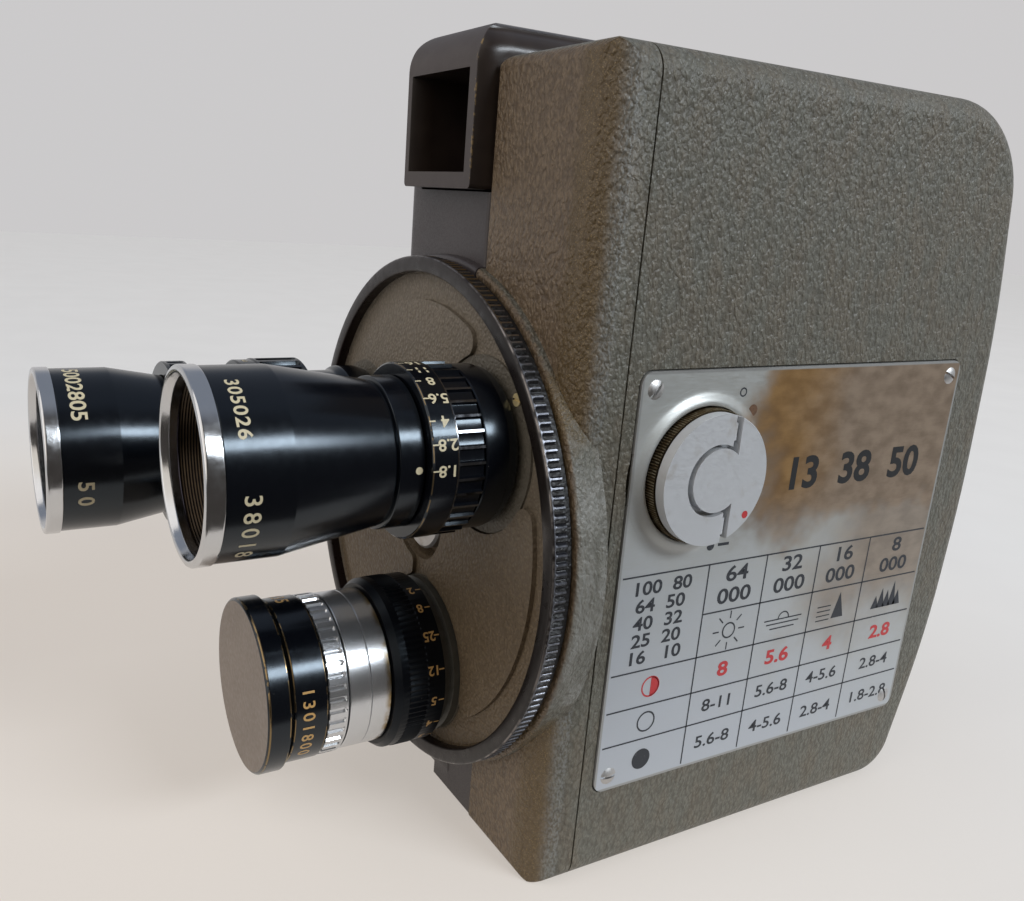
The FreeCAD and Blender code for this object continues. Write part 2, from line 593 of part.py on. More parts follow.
def turret():
    rim = []
    for i in range(KNURL_COUNT):
        for share, r in ((0.0, TURRET_R - KNURL_DEPTH), (0.3, TURRET_R), (0.7, TURRET_R)):
            a = 2 * math.pi * (i + share) / KNURL_COUNT
            rim.append(V(r * math.cos(a), r * math.sin(a), 0))
    disc = extrude_wire(Part.makePolygon(rim + [rim[0]]), "xz", LIP_FRONT + 0.35, RIM_BACK)
    disc.translate(V(0, 0, TURRET_Z))
    core = turned_y(0, TURRET_Z, [
        (PIVOT_R + RUN, HUB_FLOOR), (HUB_R + 1.0, HUB_FLOOR), (PAD_HUB_R - 0.1, DISH_Y), (LIP_R - 0.4, DISH_Y),
        (LIP_R, DISH_Y - 0.4), (LIP_R, LIP_FRONT + 0.3), (LIP_R + 0.3, LIP_FRONT), (TURRET_R - 0.8, LIP_FRONT),
        (TURRET_R - 0.3, LIP_FRONT + 0.4), (TURRET_R - 0.7, RIM_BACK), (TURRET_R - 0.7, BOSS_FRONT - GAP),
        (SPIGOT_R, BOSS_FRONT - GAP), (SPIGOT_R, TURRET_BACK), (PIVOT_R + RUN, TURRET_BACK)])
    disc = disc.cut(rod_y(0, TURRET_Z, LIP_R + 0.8, -60, 0)).fuse(core)
    for deg in (SHORT_DEG, LONG_DEG, STANDARD_DEG):
        x, z = lens_axis(deg)
        disc = disc.fuse(rod_y(x, z, SEAT_R, SEAT_Y, DISH_Y + 1))
    for deg in (SHORT_DEG + 60, SHORT_DEG + 180, SHORT_DEG + 300):
        disc = disc.fuse(pad(deg))
    for deg in (SHORT_DEG, LONG_DEG, STANDARD_DEG):
        x, z = lens_axis(deg)
        disc = disc.cut(rod_y(x, z, THREAD_R, -60, 0))
    screws = []
    for deg in (SHORT_DEG, LONG_DEG):
        x, z = lens_axis(deg)
        a = math.radians(deg + 4)
        sx, sz = x + 12.9 * math.cos(a), z + 12.9 * math.sin(a)
        disc = disc.cut(rod_y(sx, sz, 1.0, -60, SEAT_Y + 1.5))
        screw = rod_y(sx, sz, 1.0, SEAT_Y - 0.15, SEAT_Y + 1.5)
        screws.append(screw.cut(box(sx - 2, sx + 2, -60, SEAT_Y + 0.2, sz - 0.2, sz + 0.2)))
    keep("turret_disc", disc)
    keep("seat_screws", Part.makeCompound(screws))
    hub = turned_y(0, TURRET_Z, [
        (0, HUB_FACE), (HUB_R - 0.5, HUB_FACE), (HUB_R, HUB_FACE + 0.4), (HUB_R, HUB_FLOOR - GAP),
        (PIVOT_R, HUB_FLOOR - GAP), (PIVOT_R, HUB_BACK), (0, HUB_BACK)])
    keep("turret_hub", hub)
    x, z = detent_place()
    keep("detent_ball", Part.makeSphere(1.2, V(x, TURRET_BACK + 1.5, z)))
    coil = rod_y(x, z, 1.15, TURRET_BACK + 2.8, TURRET_BACK + 4.4)
    keep("detent_spring", coil.cut(rod_y(x, z, 0.75, TURRET_BACK + 2, TURRET_BACK + 5)))


def pad(deg):
    # Raised pad between two lens seats: a ring sector cut back round both seats, with rounded corners.
    ring = rod_y(0, TURRET_Z, PAD_R, DISH_Y - PAD_RISE, DISH_Y + 0.5)
    ring = ring.cut(rod_y(0, TURRET_Z, PAD_HUB_R, -60, 0))
    a0 = math.radians(deg - PAD_HALF_DEG)
    a1 = math.radians(deg + PAD_HALF_DEG)
    far = 80.0
    corner = [V(0, -60, TURRET_Z), V(far * math.cos(a0), -60, TURRET_Z + far * math.sin(a0)),
              V(far * math.cos(a1), -60, TURRET_Z + far * math.sin(a1))]
    wedge = Part.Face(Part.makePolygon(corner + [corner[0]])).extrude(V(0, 60, 0))
    ring = ring.common(wedge)
    for side in (-60, 60):
        x, z = lens_axis(deg + side)
        ring = ring.cut(rod_y(x, z, SEAT_R + 0.2, -60, 0))
    upright = [e for e in ring.Edges if e.BoundBox.YLength > 0.5 and e.BoundBox.XLength < 1e-3]
    outer = [e for e in upright if math.hypot(e.CenterOfMass.x, e.CenterOfMass.z - TURRET_Z) > 25]
    ring = ring.makeFillet(PAD_OUTER_CORNER_R, outer)
    upright = [e for e in ring.Edges if e.BoundBox.YLength > 0.5 and e.BoundBox.XLength < 1e-3]
    inner = [e for e in upright if math.hypot(e.CenterOfMass.x, e.CenterOfMass.z - TURRET_Z) < 20]
    return ring.makeFillet(PAD_INNER_CORNER_R, inner)


def mount(axis, seat_top, profile):
    # Lens mount: threaded stub, and a base of the given (radius, y) outline on the turret's seat.
    x, z = axis
    outline = [(THREAD_R - SLEEVE_T, SEAT_Y + THREAD_L), (THREAD_R, SEAT_Y + THREAD_L), (THREAD_R, SEAT_Y)]
    return turned_y(x, z, outline + profile + [(THREAD_R - SLEEVE_T, seat_top)])


def fluted_y(x, z, r, y0, y1, count, depth):
    # A grip ring with round-topped ribs.
    pts = []
    for i in range(count):
        for share, dr in ((0.0, depth), (0.18, 0.25 * depth), (0.35, 0.0), (0.65, 0.0), (0.82, 0.25 * depth)):
            a = 2 * math.pi * (i + share) / count
            pts.append(V((r - dr) * math.cos(a), (r - dr) * math.sin(a), 0))
    ring = extrude_wire(Part.makePolygon(pts + [pts[0]]), "xz", y0, y1)
    ring.translate(V(x, 0, z))
    return ring


def glass(x, z, r, y, bulge, thick):
    # A lens element turned from its section, whose front face bulges towards -Y.
    big = (r * r + bulge * bulge) / (2 * bulge)
    half = math.asin(r / big) / 2
    middle = V(x + big * math.sin(half), y - bulge + big * (1 - math.cos(half)), z)
    pole = V(x, y - bulge, z)
    rim = V(x + r, y, z)
    back = V(x + r, y + thick, z)
    centre = V(x, y + thick, z)
    edges = [Part.Arc(pole, middle, rim).toShape()]
    for start, end in ((rim, back), (back, centre), (centre, pole)):
        edges.append(Part.LineSegment(start, end).toShape())
    return Part.Face(Part.Wire(edges)).revolve(V(x, 0, z), V(0, 1, 0), 360)


def short_tele():
    x, z = SHORT
    flange_r, flange_front = 12.9, -50.2
    base = mount(SHORT, flange_front, [
        (10.5, SEAT_Y), (11.8, SEAT_Y - 0.6), (12.7, SEAT_Y - 1.6), (flange_r, SEAT_Y - 2.8),
        (flange_r, flange_front), (9.6, flange_front)])
    keep("short_tele_mount", base)
    front, rim_back, step, neck, index = -90.7, -88.1, -78.8, -63.5, -59.3
    barrel_r, neck_r, sleeve_r = 13.6, 11.0, 9.6
    barrel = turned_y(x, z, [
        (12.4, rim_back), (barrel_r, rim_back), (barrel_r, step), (neck_r, neck), (neck_r - 0.25, neck + 0.2),
        (neck_r + 0.5, neck + 0.4), (neck_r + 0.5, index), (sleeve_r, index), (sleeve_r, flange_front),
        (8.0, flange_front), (8.0, step + 6), (12.4, step + 2)])
    keep("short_tele_barrel", barrel)
    rim = turned_y(x, z, [
        (12.9, front), (13.8, front + 0.15), (13.8, rim_back), (12.2, rim_back), (12.2, front + 1.2)])
    keep("short_tele_rim", rim)
    keep("short_tele_glass", glass(x, z, 12.4, step - 2.0, 1.8, 2.6))
    ring_front, flute_front = index + GAP, -55.0
    ring = rod_y(x, z, 13.4, ring_front, flute_front)
    ring = ring.makeFillet(0.5, [e for e in ring.Edges if abs(e.BoundBox.YMax - ring_front) < 1e-4])
    grip = fluted_y(x, z, 13.35, flute_front, flange_front - GAP, 28, 0.9)
    ring = ring.fuse(grip).cut(rod_y(x, z, sleeve_r + GAP, -70, -40))
    keep("short_tele_aperture_ring", ring)


def long_tele():
    x, z = LONG
    base_front = -58.2 + GAP
    keep("long_tele_mount", mount(LONG, base_front, [
        (11.0, SEAT_Y), (12.6, SEAT_Y - 1.2), (13.2, SEAT_Y - 3.0), (13.2, -50.0), (12.4, -51.0),
        (12.4, base_front), (9.8, base_front)]))
    front, rim_back, step, neck = -104.6, -102.1, -92.8, -83.5
    barrel_r, neck_r, sleeve_r = 14.0, 12.3, 9.8
    ring_a0, ring_a1 = -83.2, -78.9
    ring_b0, ring_b1 = -70.3, -58.2
    barrel = turned_y(x, z, [
        (12.9, rim_back), (barrel_r, rim_back), (barrel_r, step), (neck_r, neck), (sleeve_r + 1.2, neck),
        (sleeve_r + 1.2, ring_a1), (12.6, ring_a1), (12.6, ring_b0 - GAP), (sleeve_r, ring_b0 - GAP),
        (sleeve_r, base_front), (8.2, base_front), (8.2, step + 6), (12.9, step + 2)])
    keep("long_tele_barrel", barrel)
    keep("long_tele_rim", turned_y(x, z, [
        (13.3, front), (14.3, front + 0.15), (14.3, rim_back), (12.7, rim_back), (12.7, front + 1.2)]))
    keep("long_tele_glass", glass(x, z, 12.9, step - 2.0, 1.8, 2.6))
    ring = fluted_y(x, z, 14.8, ring_a0, ring_a1 - GAP, 40, 0.5)
    keep("long_tele_aperture_ring", ring.cut(rod_y(x, z, sleeve_r + 1.2 + GAP, -90, -70)))
    ring = fluted_y(x, z, 15.0, ring_b0 + 3.5, ring_b1, 32, 0.8)
    ring = ring.fuse(rod_y(x, z, 14.8, ring_b0, ring_b0 + 3.5))
    keep("long_tele_focus_ring", ring.cut(rod_y(x, z, sleeve_r + GAP, -80, -50)))


def standard_lens():
    x, z = STANDARD
    base_front = -46.7
    keep("standard_mount", mount(STANDARD, base_front, [
        (14.1, SEAT_Y), (14.1, SEAT_Y - 1.4), (13.4, SEAT_Y - 1.9), (13.4, base_front), (9.4, base_front)]))
    focus0, focus1 = -56.0, -47.0
    sleeve_r, inner_r = 9.4, 11.4
    groove, silver0 = -59.8, -63.6
    barrel = turned_y(x, z, [
        (9.6, -75.4), (13.0, -75.4), (13.0, -73.6), (inner_r, -73.6), (inner_r, silver0), (13.5, silver0),
        (13.5, groove - 0.15), (13.2, groove), (13.5, groove + 0.15), (13.5, focus0 - GAP), (sleeve_r, focus0 - GAP),
        (sleeve_r, base_front), (8.0, base_front), (8.0, -66.0), (9.6, -68.0)])
    keep("standard_barrel", barrel)
    keep("standard_glass", glass(x, z, 9.6, -70.6, 1.6, 2.4))
    grip = fluted_y(x, z, 13.7, -67.6 + GAP, silver0 - GAP, 30, 0.7)
    keep("standard_aperture_ring", grip.cut(rod_y(x, z, inner_r + GAP, -80, -60)))
    name = turned_y(x, z, [
        (inner_r + GAP, -73.3), (13.5, -73.3), (13.8, -73.0), (13.8, -67.6), (inner_r + GAP, -67.6)])
    keep("standard_name_ring", name)
    ring = fluted_y(x, z, 15.1, focus0 + 2.6, focus1 - 3.2, 90, 0.3)
    ring = ring.fuse(turned_y(x, z, [
        (10.5, focus0), (14.2, focus0), (15.0, focus0 + 1.1), (15.0, focus0 + 2.6), (10.5, focus0 + 2.6)]))
    ring = ring.fuse(rod_y(x, z, 15.0, focus1 - 3.2, focus1))
    keep("standard_focus_ring", ring.cut(rod_y(x, z, sleeve_r + GAP, -60, -40)))
    cap = turned_y(x, z, [
        (0, -77.7), (14.3, -77.7), (14.7, -77.3), (14.7, -74.0), (13.3, -74.0), (13.3, -75.9), (0, -75.9)])
    keep("standard_cap", cap)


def spool(cy, cz, bore):
    x0 = FILM_CX - SPOOL_W / 2
    x1 = x0 + SPOOL_W
    t = SPOOL_FLANGE_T
    solid = rod_x(cy, cz, SPOOL_R, x0, x0 + t).fuse(rod_x(cy, cz, SPOOL_R, x1 - t, x1))
    solid = solid.fuse(rod_x(cy, cz, SPOOL_CORE_R, x0, x1))
    for i in range(3):
        y, z = polar((cy, cz), (SPOOL_R + SPOOL_CORE_R) / 2, 90 + 120 * i)
        solid = solid.cut(rod_x(y, z, 3.2, x0 - 1, x0 + t + 0.01))
        solid = solid.cut(rod_x(y, z, 3.2, x1 - t - 0.01, x1 + 1))
    return solid.cut(rod_x(cy, cz, bore, x0 - 1, x1 + 1))


def film_path():
    keep("feed_spool", spool(FEED_Y, FEED_Z, SPINDLE_R + RUN))
    keep("takeup_spool", spool(TAKEUP[0], TAKEUP[1], SPINDLE_R))
    phase = mesh_phase(TAKEUP_PINION_TEETH, 0.0, SPROCKET, TAKEUP_TEETH, TAKEUP)
    spindle = gear(TAKEUP_TEETH, phase, TAKEUP[0], TAKEUP[1], 6.2, 8.0)
    spindle = spindle.fuse(rod_x(TAKEUP[0], TAKEUP[1], 2.5, 5.9, PLATE_X1 + 0.4))
    spindle = spindle.fuse(rod_x(TAKEUP[0], TAKEUP[1], SPINDLE_R, PLATE_X1 + GAP, FILM_CX + SPOOL_W / 2 + 2))
    keep("takeup_spindle", spindle)
    gate = box(14.6, 31.2, SEAM_Y, SEAM_Y + GATE_T, 56, 87)
    gate = gate.cut(box(SHORT[0] - 2.4, SHORT[0] + 2.4, -40, -30, SHORT[1] - 1.8, SHORT[1] + 1.8))
    gate = gate.cut(box(22.1, 23.7, -40, -30, 60.5, 68.6))
    keep("aperture_plate", gate)
    claw = box(22.4, 23.4, SHUTTER_Y + 1.9, SEAM_Y - GAP, 58.5, 79.5)
    keep("claw", claw.fuse(box(22.4, 23.4, SEAM_Y - 0.5, FILM_Y - 0.1, 66.6, 67.4)))
    pad = box(15.0, 30.8, FILM_Y + 0.35, FILM_Y + 1.9, 60, 84)
    pad = pad.fuse(rod_y(FILM_CX, SHORT[1] + 6, 1.2, FILM_Y + 1.5, -19.5))
    keep("pressure_plate", pad)
    rollers = []
    for y, z in FILM_GUIDES:
        rollers.append(rod_x(y, z, 3.2, 15.0, 30.8).cut(rod_x(y, z, GUIDE_PIN_R, 14, 32)))
    keep("film_guides", Part.makeCompound(rollers))


def bevel(teeth):
    # A small bevel wheel about X: wide end at x = 0, tapering towards +X inside its 45 degree pitch cone.
    rings = []
    for x, share in ((0.0, 1.0), (BEVEL_R / 2, 0.5)):
        pts = []
        for i in range(teeth):
            for step, r in ((-0.3, BEVEL_R - 1.2), (-0.15, BEVEL_R - 0.3), (0.15, BEVEL_R - 0.3), (0.3, BEVEL_R - 1.2)):
                a = 2 * math.pi * (i + step) / teeth
                pts.append(V(x, share * r * math.cos(a), share * r * math.sin(a)))
        rings.append(Part.makePolygon(pts + [pts[0]]))
    return Part.makeLoft(rings, True, True)


def drive_train():
    y, z = BARREL
    drum_x0, drum_x1 = MECH_X0 + MECH_T + 0.5, -2.6
    great = gear(GREAT_TEETH, WHEEL_DEG, y, z, 3.2, 5.2)
    drum = rod_x(y, z, BARREL_R, drum_x0, drum_x1).cut(rod_x(y, z, BARREL_R - 1, drum_x0 + 1, drum_x1 - 1))
    barrel = great.fuse([drum, rod_x(y, z, 6, drum_x1 - 0.5, 3.3)]).cut(rod_x(y, z, WINDING_R + RUN, -20, 12))
    keep("mainspring_barrel", barrel)
    keep("mainspring", mainspring(drum_x0 + 1.4, drum_x1 - 1.4))
    keep("winding_arbor", arbor(drum_x0))
    pawl = box(LEFT_X + WALL + 1.2, LEFT_X + WALL + 2.6, y - 12.3, y - 9.3, z - 3, z + 12)
    pawl = pawl.fuse(rod_x(y - 10.8, z + 12, 2.0, LEFT_X + WALL + 1.2, LEFT_X + WALL + 2.6))
    pawl = pawl.fuse(rod_x(y - 10.8, z + 12, 1.0, LEFT_X + WALL + 1.2, MECH_X0 + 1))
    keep("ratchet_pawl", pawl)
    phase = mesh_phase(GREAT_TEETH, WHEEL_DEG, BARREL, PINION_TEETH, WHEEL)
    pinion = gear(PINION_TEETH, phase, WHEEL[0], WHEEL[1], 2.9, 5.5)
    wheel = gear(WHEEL_TEETH, 0.0, WHEEL[0], WHEEL[1], -2.0, 2.0)
    solid = wheel.fuse([pinion, rod_x(WHEEL[0], WHEEL[1], 3.0, 1.9, 3.0), arbor_rod(WHEEL)])
    keep("intermediate_wheel", solid)
    sprocket()
    phase = mesh_phase(WHEEL_TEETH, 0.0, WHEEL, GOVERNOR_TEETH, GOVERNOR)
    gov = gear(GOVERNOR_TEETH, phase, GOVERNOR[0], GOVERNOR[1], -2.0, -0.2)
    gov = gov.fuse([rod_x(GOVERNOR[0], GOVERNOR[1], 9.0, 5.6, 7.4), arbor_rod(GOVERNOR)])
    for i in range(2):
        wy, wz = polar(GOVERNOR, 6.4, 180 * i)
        gov = gov.fuse(rod_x(wy, wz, 2.2, 3.0, 5.7))
    keep("governor", gov)
    phase = mesh_phase(WHEEL_TEETH, 0.0, WHEEL, SHUTTER_TEETH, DRIVE)
    solid = gear(SHUTTER_TEETH, phase, DRIVE[0], DRIVE[1], -2.0, -0.2)
    wheel = bevel(BEVEL_TEETH)
    wheel.translate(V(SHUTTER_X - BEVEL_R, DRIVE[0], DRIVE[1]))
    solid = solid.fuse([wheel, rod_x(DRIVE[0], DRIVE[1], ARBOR_R, MECH_X0, SHUTTER_X - BEVEL_R + 0.5)])
    keep("shutter_drive_wheel", solid)
    shutter()


def arbor_rod(centre):
    return rod_x(centre[0], centre[1], ARBOR_R, MECH_X0, PLATE_X1 - 1.0)


def mainspring(x0, x1):
    # A flat spiral strip from the arbor to the drum's wall.
    turns, inner, outer, half = 7, 3.6, BARREL_R - 1.4, 0.22
    steps = 16 * turns
    left, right = [], []
    for i in range(steps + 1):
        a = 2 * math.pi * turns * i / steps
        r = inner + (outer - inner) * i / steps
        left.append(V((r - half) * math.cos(a), (r - half) * math.sin(a), 0))
        right.append(V((r + half) * math.cos(a), (r + half) * math.sin(a), 0))
    loop = left + right[::-1]
    solid = extrude_wire(Part.makePolygon(loop + [loop[0]]), "yz", x0, x1)
    solid.translate(V(0, BARREL_Y, BARREL_Z))
    return solid


def arbor(drum_x0):
    # The winding shaft, square where it leaves the cover, with its ratchet wheel outside the plate.
    y, z = BARREL
    solid = rod_x(y, z, WINDING_R, LEFT_X - 3.0, 5.9)
    pts = []
    for i in range(18):
        for share, r in ((0.0, 9.0), (0.9, 7.6)):
            a = 2 * math.pi * (i + share) / 18
            pts.append(V(r * math.cos(a), r * math.sin(a), 0))
    ratchet = extrude_wire(Part.makePolygon(pts + [pts[0]]), "yz", LEFT_X + WALL + 1.2, LEFT_X + WALL + 2.6)
    ratchet.translate(V(0, y, z))
    return solid.fuse([ratchet, rod_x(y, z, 3.0, LEFT_X - GAP, MECH_X0 - 0.5)])


def sprocket():
    y, z = SPROCKET
    phase = mesh_phase(WHEEL_TEETH, 0.0, WHEEL, SPROCKET_TEETH, SPROCKET)
    solid = gear(SPROCKET_TEETH, phase, y, z, 0.2, 2.0)
    solid = solid.fuse(gear(TAKEUP_PINION_TEETH, 0.0, y, z, 6.2, 8.0))
    solid = solid.fuse(rod_x(y, z, 2.0, MECH_X0 + MECH_T + 0.5, 15.5))
    solid = solid.fuse(rod_x(y, z, ARBOR_R, MECH_X0, MECH_X0 + MECH_T + 1))
    drum = rod_x(y, z, 8.2, 15.0, 30.8).fuse([rod_x(y, z, 9.0, 15.0, 17.0), rod_x(y, z, 9.0, 28.8, 30.8)])
    for i in range(16):
        turn = math.radians(22.5 * i)
        out = V(0, math.cos(turn), math.sin(turn))
        drum = drum.fuse(Part.makeCone(0.7, 0.35, 1.7, V(16.0, y, z) + out * 8.5, out))
    keep("film_sprocket", solid.fuse(drum))


def shutter():
    blade = rod_y(SHUTTER_X, SHUTTER_Z, SHUTTER_R, SHUTTER_Y, SHUTTER_Y + SHUTTER_T)
    far = 60.0
    a0, a1 = math.radians(140), math.radians(300)
    pts = [V(SHUTTER_X, -60, SHUTTER_Z)]
    for a in (a0, (a0 + a1) / 2, a1):
        pts.append(V(SHUTTER_X + far * math.cos(a), -60, SHUTTER_Z + far * math.sin(a)))
    open_part = Part.Face(Part.makePolygon(pts + [pts[0]])).extrude(V(0, 60, 0))
    open_part = open_part.cut(rod_y(SHUTTER_X, SHUTTER_Z, 6.0, -70, 10))
    solid = blade.cut(open_part)
    back_y = DRIVE[0] - BEVEL_R
    solid = solid.fuse(rod_y(SHUTTER_X, SHUTTER_Z, SHUTTER_SHAFT_R, SHUTTER_Y, back_y + 0.5))
    solid = solid.fuse(rod_y(SHUTTER_X, SHUTTER_Z, 2.4, SHUTTER_Y, SHUTTER_Y + 2.5))
    wheel = bevel(BEVEL_TEETH)
    wheel.rotate(V(0, 0, 0), V(0, 0, 1), 90)
    wheel.rotate(V(0, 0, 0), V(0, 1, 0), 18)
    wheel.translate(V(SHUTTER_X, back_y, SHUTTER_Z))
    keep("shutter", solid.fuse(wheel))


def mechanism_plate():
    x0, x1 = MECH_X0, MECH_X0 + MECH_T
    plate = inset_prism(COVER_FRONT, WALL + GAP + 3.0, x0, x1)
    plate = plate.common(box(x0 - 1, x1 + 1, -60, 70, 4, FINDER_Z0 - 1.5))
    plate = plate.cut(box(x0 - 1, x1 + 1, -60, -26, 15, 97))
    for y, z in PILLARS:
        plate = plate.cut(rod_x(y, z, PILLAR_NECK_R, x0 - 1, x1 + 1))
    for y, z in (WHEEL, GOVERNOR, DRIVE, SPROCKET):
        plate = plate.cut(rod_x(y, z, ARBOR_R + RUN, x0 - 1, x1 + 1))
    plate = plate.cut(rod_x(BARREL_Y, BARREL_Z, WINDING_R + RUN, x0 - 1, x1 + 1))
    plate = plate.cut(rod_x(BARREL_Y - 10.8, BARREL_Z + 12, 1.0 + RUN, x0 - 1, x1 + 1))
    plate = plate.cut(rod_x(WINDOW_Y, WINDOW_Z, 1.0 + RUN, x0 - 1, x1 + 1))
    keep("mechanism_plate", plate)


def controls():
    x = LEFT_X
    dial = turned_x(DIAL_Y, DIAL_Z, [
        (0, x - 3.8), (DIAL_R - 1.4, x - 3.8), (DIAL_R - 0.8, x - 3.2), (DIAL_R, x - 1.2), (DIAL_R, x - GAP),
        (DIAL_SHAFT_R, x - GAP), (DIAL_SHAFT_R, x + 4.0), (0, x + 4.0)])
    keep("speed_dial", dial)
    y, z = BUTTON_Y, BUTTON_Z
    button = box(x - 2.6, x - GAP, y - 3.2, y + 3.2, z - 5, z + 5)
    upright = [e for e in button.Edges if e.BoundBox.XLength > 1]
    button = button.makeFillet(2.0, upright)
    for i in range(4):
        rib_z = z - 3.3 + 2.2 * i
        button = button.cut(box(x - 3, x - 2.2, y - 4, y + 4, rib_z - 0.35, rib_z + 0.35))
    stem = box(x - 0.5, x + WALL + 1.2, y - 1.5, y + 1.5, z - 3.6, z + 3.6)
    back = box(x + WALL + GAP, x + WALL + 1.3, y - 3.5, y + 3.5, z - 3.6, z + 3.6)
    keep("release_button", button.fuse([stem, back]))
    y, z = WINDOW_Y, WINDOW_Z
    keep("counter_window", rod_x(y, z, WINDOW_R, x + 0.2, x + 1.2))
    dial = rod_x(y, z, WINDOW_R + 1.5, x + WALL + 0.5, x + WALL + 1.1)
    keep("counter_dial", dial.fuse(rod_x(y, z, 1.0, x + WALL + 0.5, MECH_X0 + 1.0)))
    y, z = BARREL
    hub = rod_x(y, z, KEY_HUB_R, x - 3.0, x - GAP)
    ear_x0 = x - 3.0 - KEY_T - 1.6
    for s in (-1, 1):
        ear = box(ear_x0, x - 2.9, y - 2.0, y + 2.0, z + s * 4.6 - 1.0, z + s * 4.6 + 1.0)
        hub = hub.fuse(ear)
    pin_x = x - 3.0 - 0.8 - KEY_T / 2
    hub = hub.fuse(rod_z(pin_x, y, 0.8, z - 5.6, z + 5.6))
    keep("winding_key_hub", hub.cut(rod_x(y, z, WINDING_R, x - 3.0, x)))
    wing = prism([
        (y - 1.6, z - 3.3, 1.2), (y + 6, z - 3.3, 2), (y + 9, z - KEY_W / 2, 5), (y + KEY_L, z - KEY_W / 2, 7),
        (y + KEY_L, z + KEY_W / 2, 7), (y + 9, z + KEY_W / 2, 5), (y + 6, z + 3.3, 2), (y - 1.6, z + 3.3, 1.2)],
        "yz", pin_x - KEY_T / 2, pin_x + KEY_T / 2)
    hole = prism([
        (y + 10.5, z - KEY_W / 2 + KEY_WIRE, 3), (y + KEY_L - KEY_WIRE, z - KEY_W / 2 + KEY_WIRE, 4),
        (y + KEY_L - KEY_WIRE, z + KEY_W / 2 - KEY_WIRE, 4), (y + 10.5, z + KEY_W / 2 - KEY_WIRE, 3)],
        "yz", pin_x - 5, pin_x + 5)
    wing = wing.cut(hole).cut(rod_z(pin_x, y, 0.8 + RUN, z - 9, z + 9))
    keep("winding_key_wing", wing)
    bush = rod_z(0, 0, BUSH_R, 0, BUSH_L).cut(rod_z(0, 0, TRIPOD_R, -1, TRIPOD_L))
    keep("tripod_bush", bush)


def save_all():
    for name, shape in PIECES.items():
        solids = shape.Solids
        out = solids[0] if len(solids) == 1 else Part.makeCompound(solids)
        out.exportStep("parts/%s.step" % name)
        print(name, len(solids), round(out.Volume, 1), out.isValid())


main_casting()
cover_pillars()
mechanism_cover()
finder()
door()
turret()
short_tele()
long_tele()
standard_lens()
film_path()
drive_train()
mechanism_plate()
controls()
save_all()
print("nodes", len(PIECES))
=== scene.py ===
# Turret movie camera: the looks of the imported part, in metres, in the part's own frame.
import bpy
import bmesh
import math
from mathutils import Matrix, Vector


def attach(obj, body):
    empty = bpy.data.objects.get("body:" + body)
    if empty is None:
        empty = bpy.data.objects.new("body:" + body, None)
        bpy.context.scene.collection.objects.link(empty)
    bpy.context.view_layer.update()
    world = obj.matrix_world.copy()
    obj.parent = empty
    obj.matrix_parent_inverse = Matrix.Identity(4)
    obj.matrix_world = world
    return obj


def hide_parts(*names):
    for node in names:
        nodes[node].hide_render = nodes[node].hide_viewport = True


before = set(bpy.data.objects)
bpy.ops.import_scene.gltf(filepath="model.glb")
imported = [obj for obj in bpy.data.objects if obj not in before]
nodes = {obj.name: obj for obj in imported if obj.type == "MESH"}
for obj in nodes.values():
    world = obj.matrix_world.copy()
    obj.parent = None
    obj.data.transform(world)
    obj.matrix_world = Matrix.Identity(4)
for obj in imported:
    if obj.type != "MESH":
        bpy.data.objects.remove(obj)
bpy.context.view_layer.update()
MM = 0.001
scene = bpy.context.scene
scene.view_settings.view_transform = "Standard"

# Camera, floor and light: the camera stands to the right of the lenses and a little above them, turned
# clockwise by a few degrees. The floor is a sheet of pale paper, and the light is a long soft window, high
# on the film door's side, with a pale room behind the body and a dark one on the near side.
VIEW_YAW, VIEW_PITCH, VIEW_ROLL = 60.22, 15.57, 3.86
VIEW_PLACE = Vector((0.1425, -0.118, 0.1078))
VIEW_LENS = 32.67
VIEW_SHIFT = (0.0549, 0.0111)
yaw, pitch, roll = (math.radians(a) for a in (VIEW_YAW, VIEW_PITCH, VIEW_ROLL))
towards = Vector((math.sin(yaw) * math.cos(pitch), -math.cos(yaw) * math.cos(pitch), math.sin(pitch)))
level = (-towards).cross(Vector((0, 0, 1))).normalized()
upright = level.cross(-towards)
camera_data = bpy.data.cameras.new("camera")
camera_data.lens = VIEW_LENS
camera_data.shift_x, camera_data.shift_y = VIEW_SHIFT
camera_data.clip_start, camera_data.clip_end = 0.005, 20
camera = bpy.data.objects.new("camera", camera_data)
turned_level = level * math.cos(roll) + upright * math.sin(roll)
turned_upright = upright * math.cos(roll) - level * math.sin(roll)
camera_turn = Matrix((turned_level, turned_upright, towards)).transposed().to_4x4()
camera.matrix_world = Matrix.Translation(VIEW_PLACE) @ camera_turn
scene.collection.objects.link(camera)
scene.camera = camera

WINDOW_AWAY, WINDOW_LONG, WINDOW_WIDE, WINDOW_WATTS = 1.5, 0.80, 0.28, 16.0
window_data = bpy.data.lights.new("window", "AREA")
window_data.shape = "RECTANGLE"
window_data.size, window_data.size_y = WINDOW_LONG, WINDOW_WIDE
window_data.energy = WINDOW_WATTS
window_data.color = (0.86, 0.93, 1.0)
window = bpy.data.objects.new("window", window_data)
window_out = Vector((0.73, 0.35, 0.57)).normalized()
window_side = Vector((0, 1, 0)).cross(window_out).normalized()
window_turn = Matrix((window_out.cross(window_side), -window_side, window_out)).transposed().to_4x4()
window.matrix_world = Matrix.Translation(window_out * WINDOW_AWAY) @ window_turn
scene.collection.objects.link(window)
ROOM_SPREAD, ROOM_STRENGTH = 80, 1.25
room_data = bpy.data.lights.new("room", "SUN")
room_data.angle = math.radians(ROOM_SPREAD)
room_data.energy = ROOM_STRENGTH
room_data.color = (1.0, 0.93, 0.84)
room = bpy.data.objects.new("room", room_data)
room.rotation_euler = Vector((0.20, -0.80, 0.55)).to_track_quat("Z", "Y").to_euler()
scene.collection.objects.link(room)


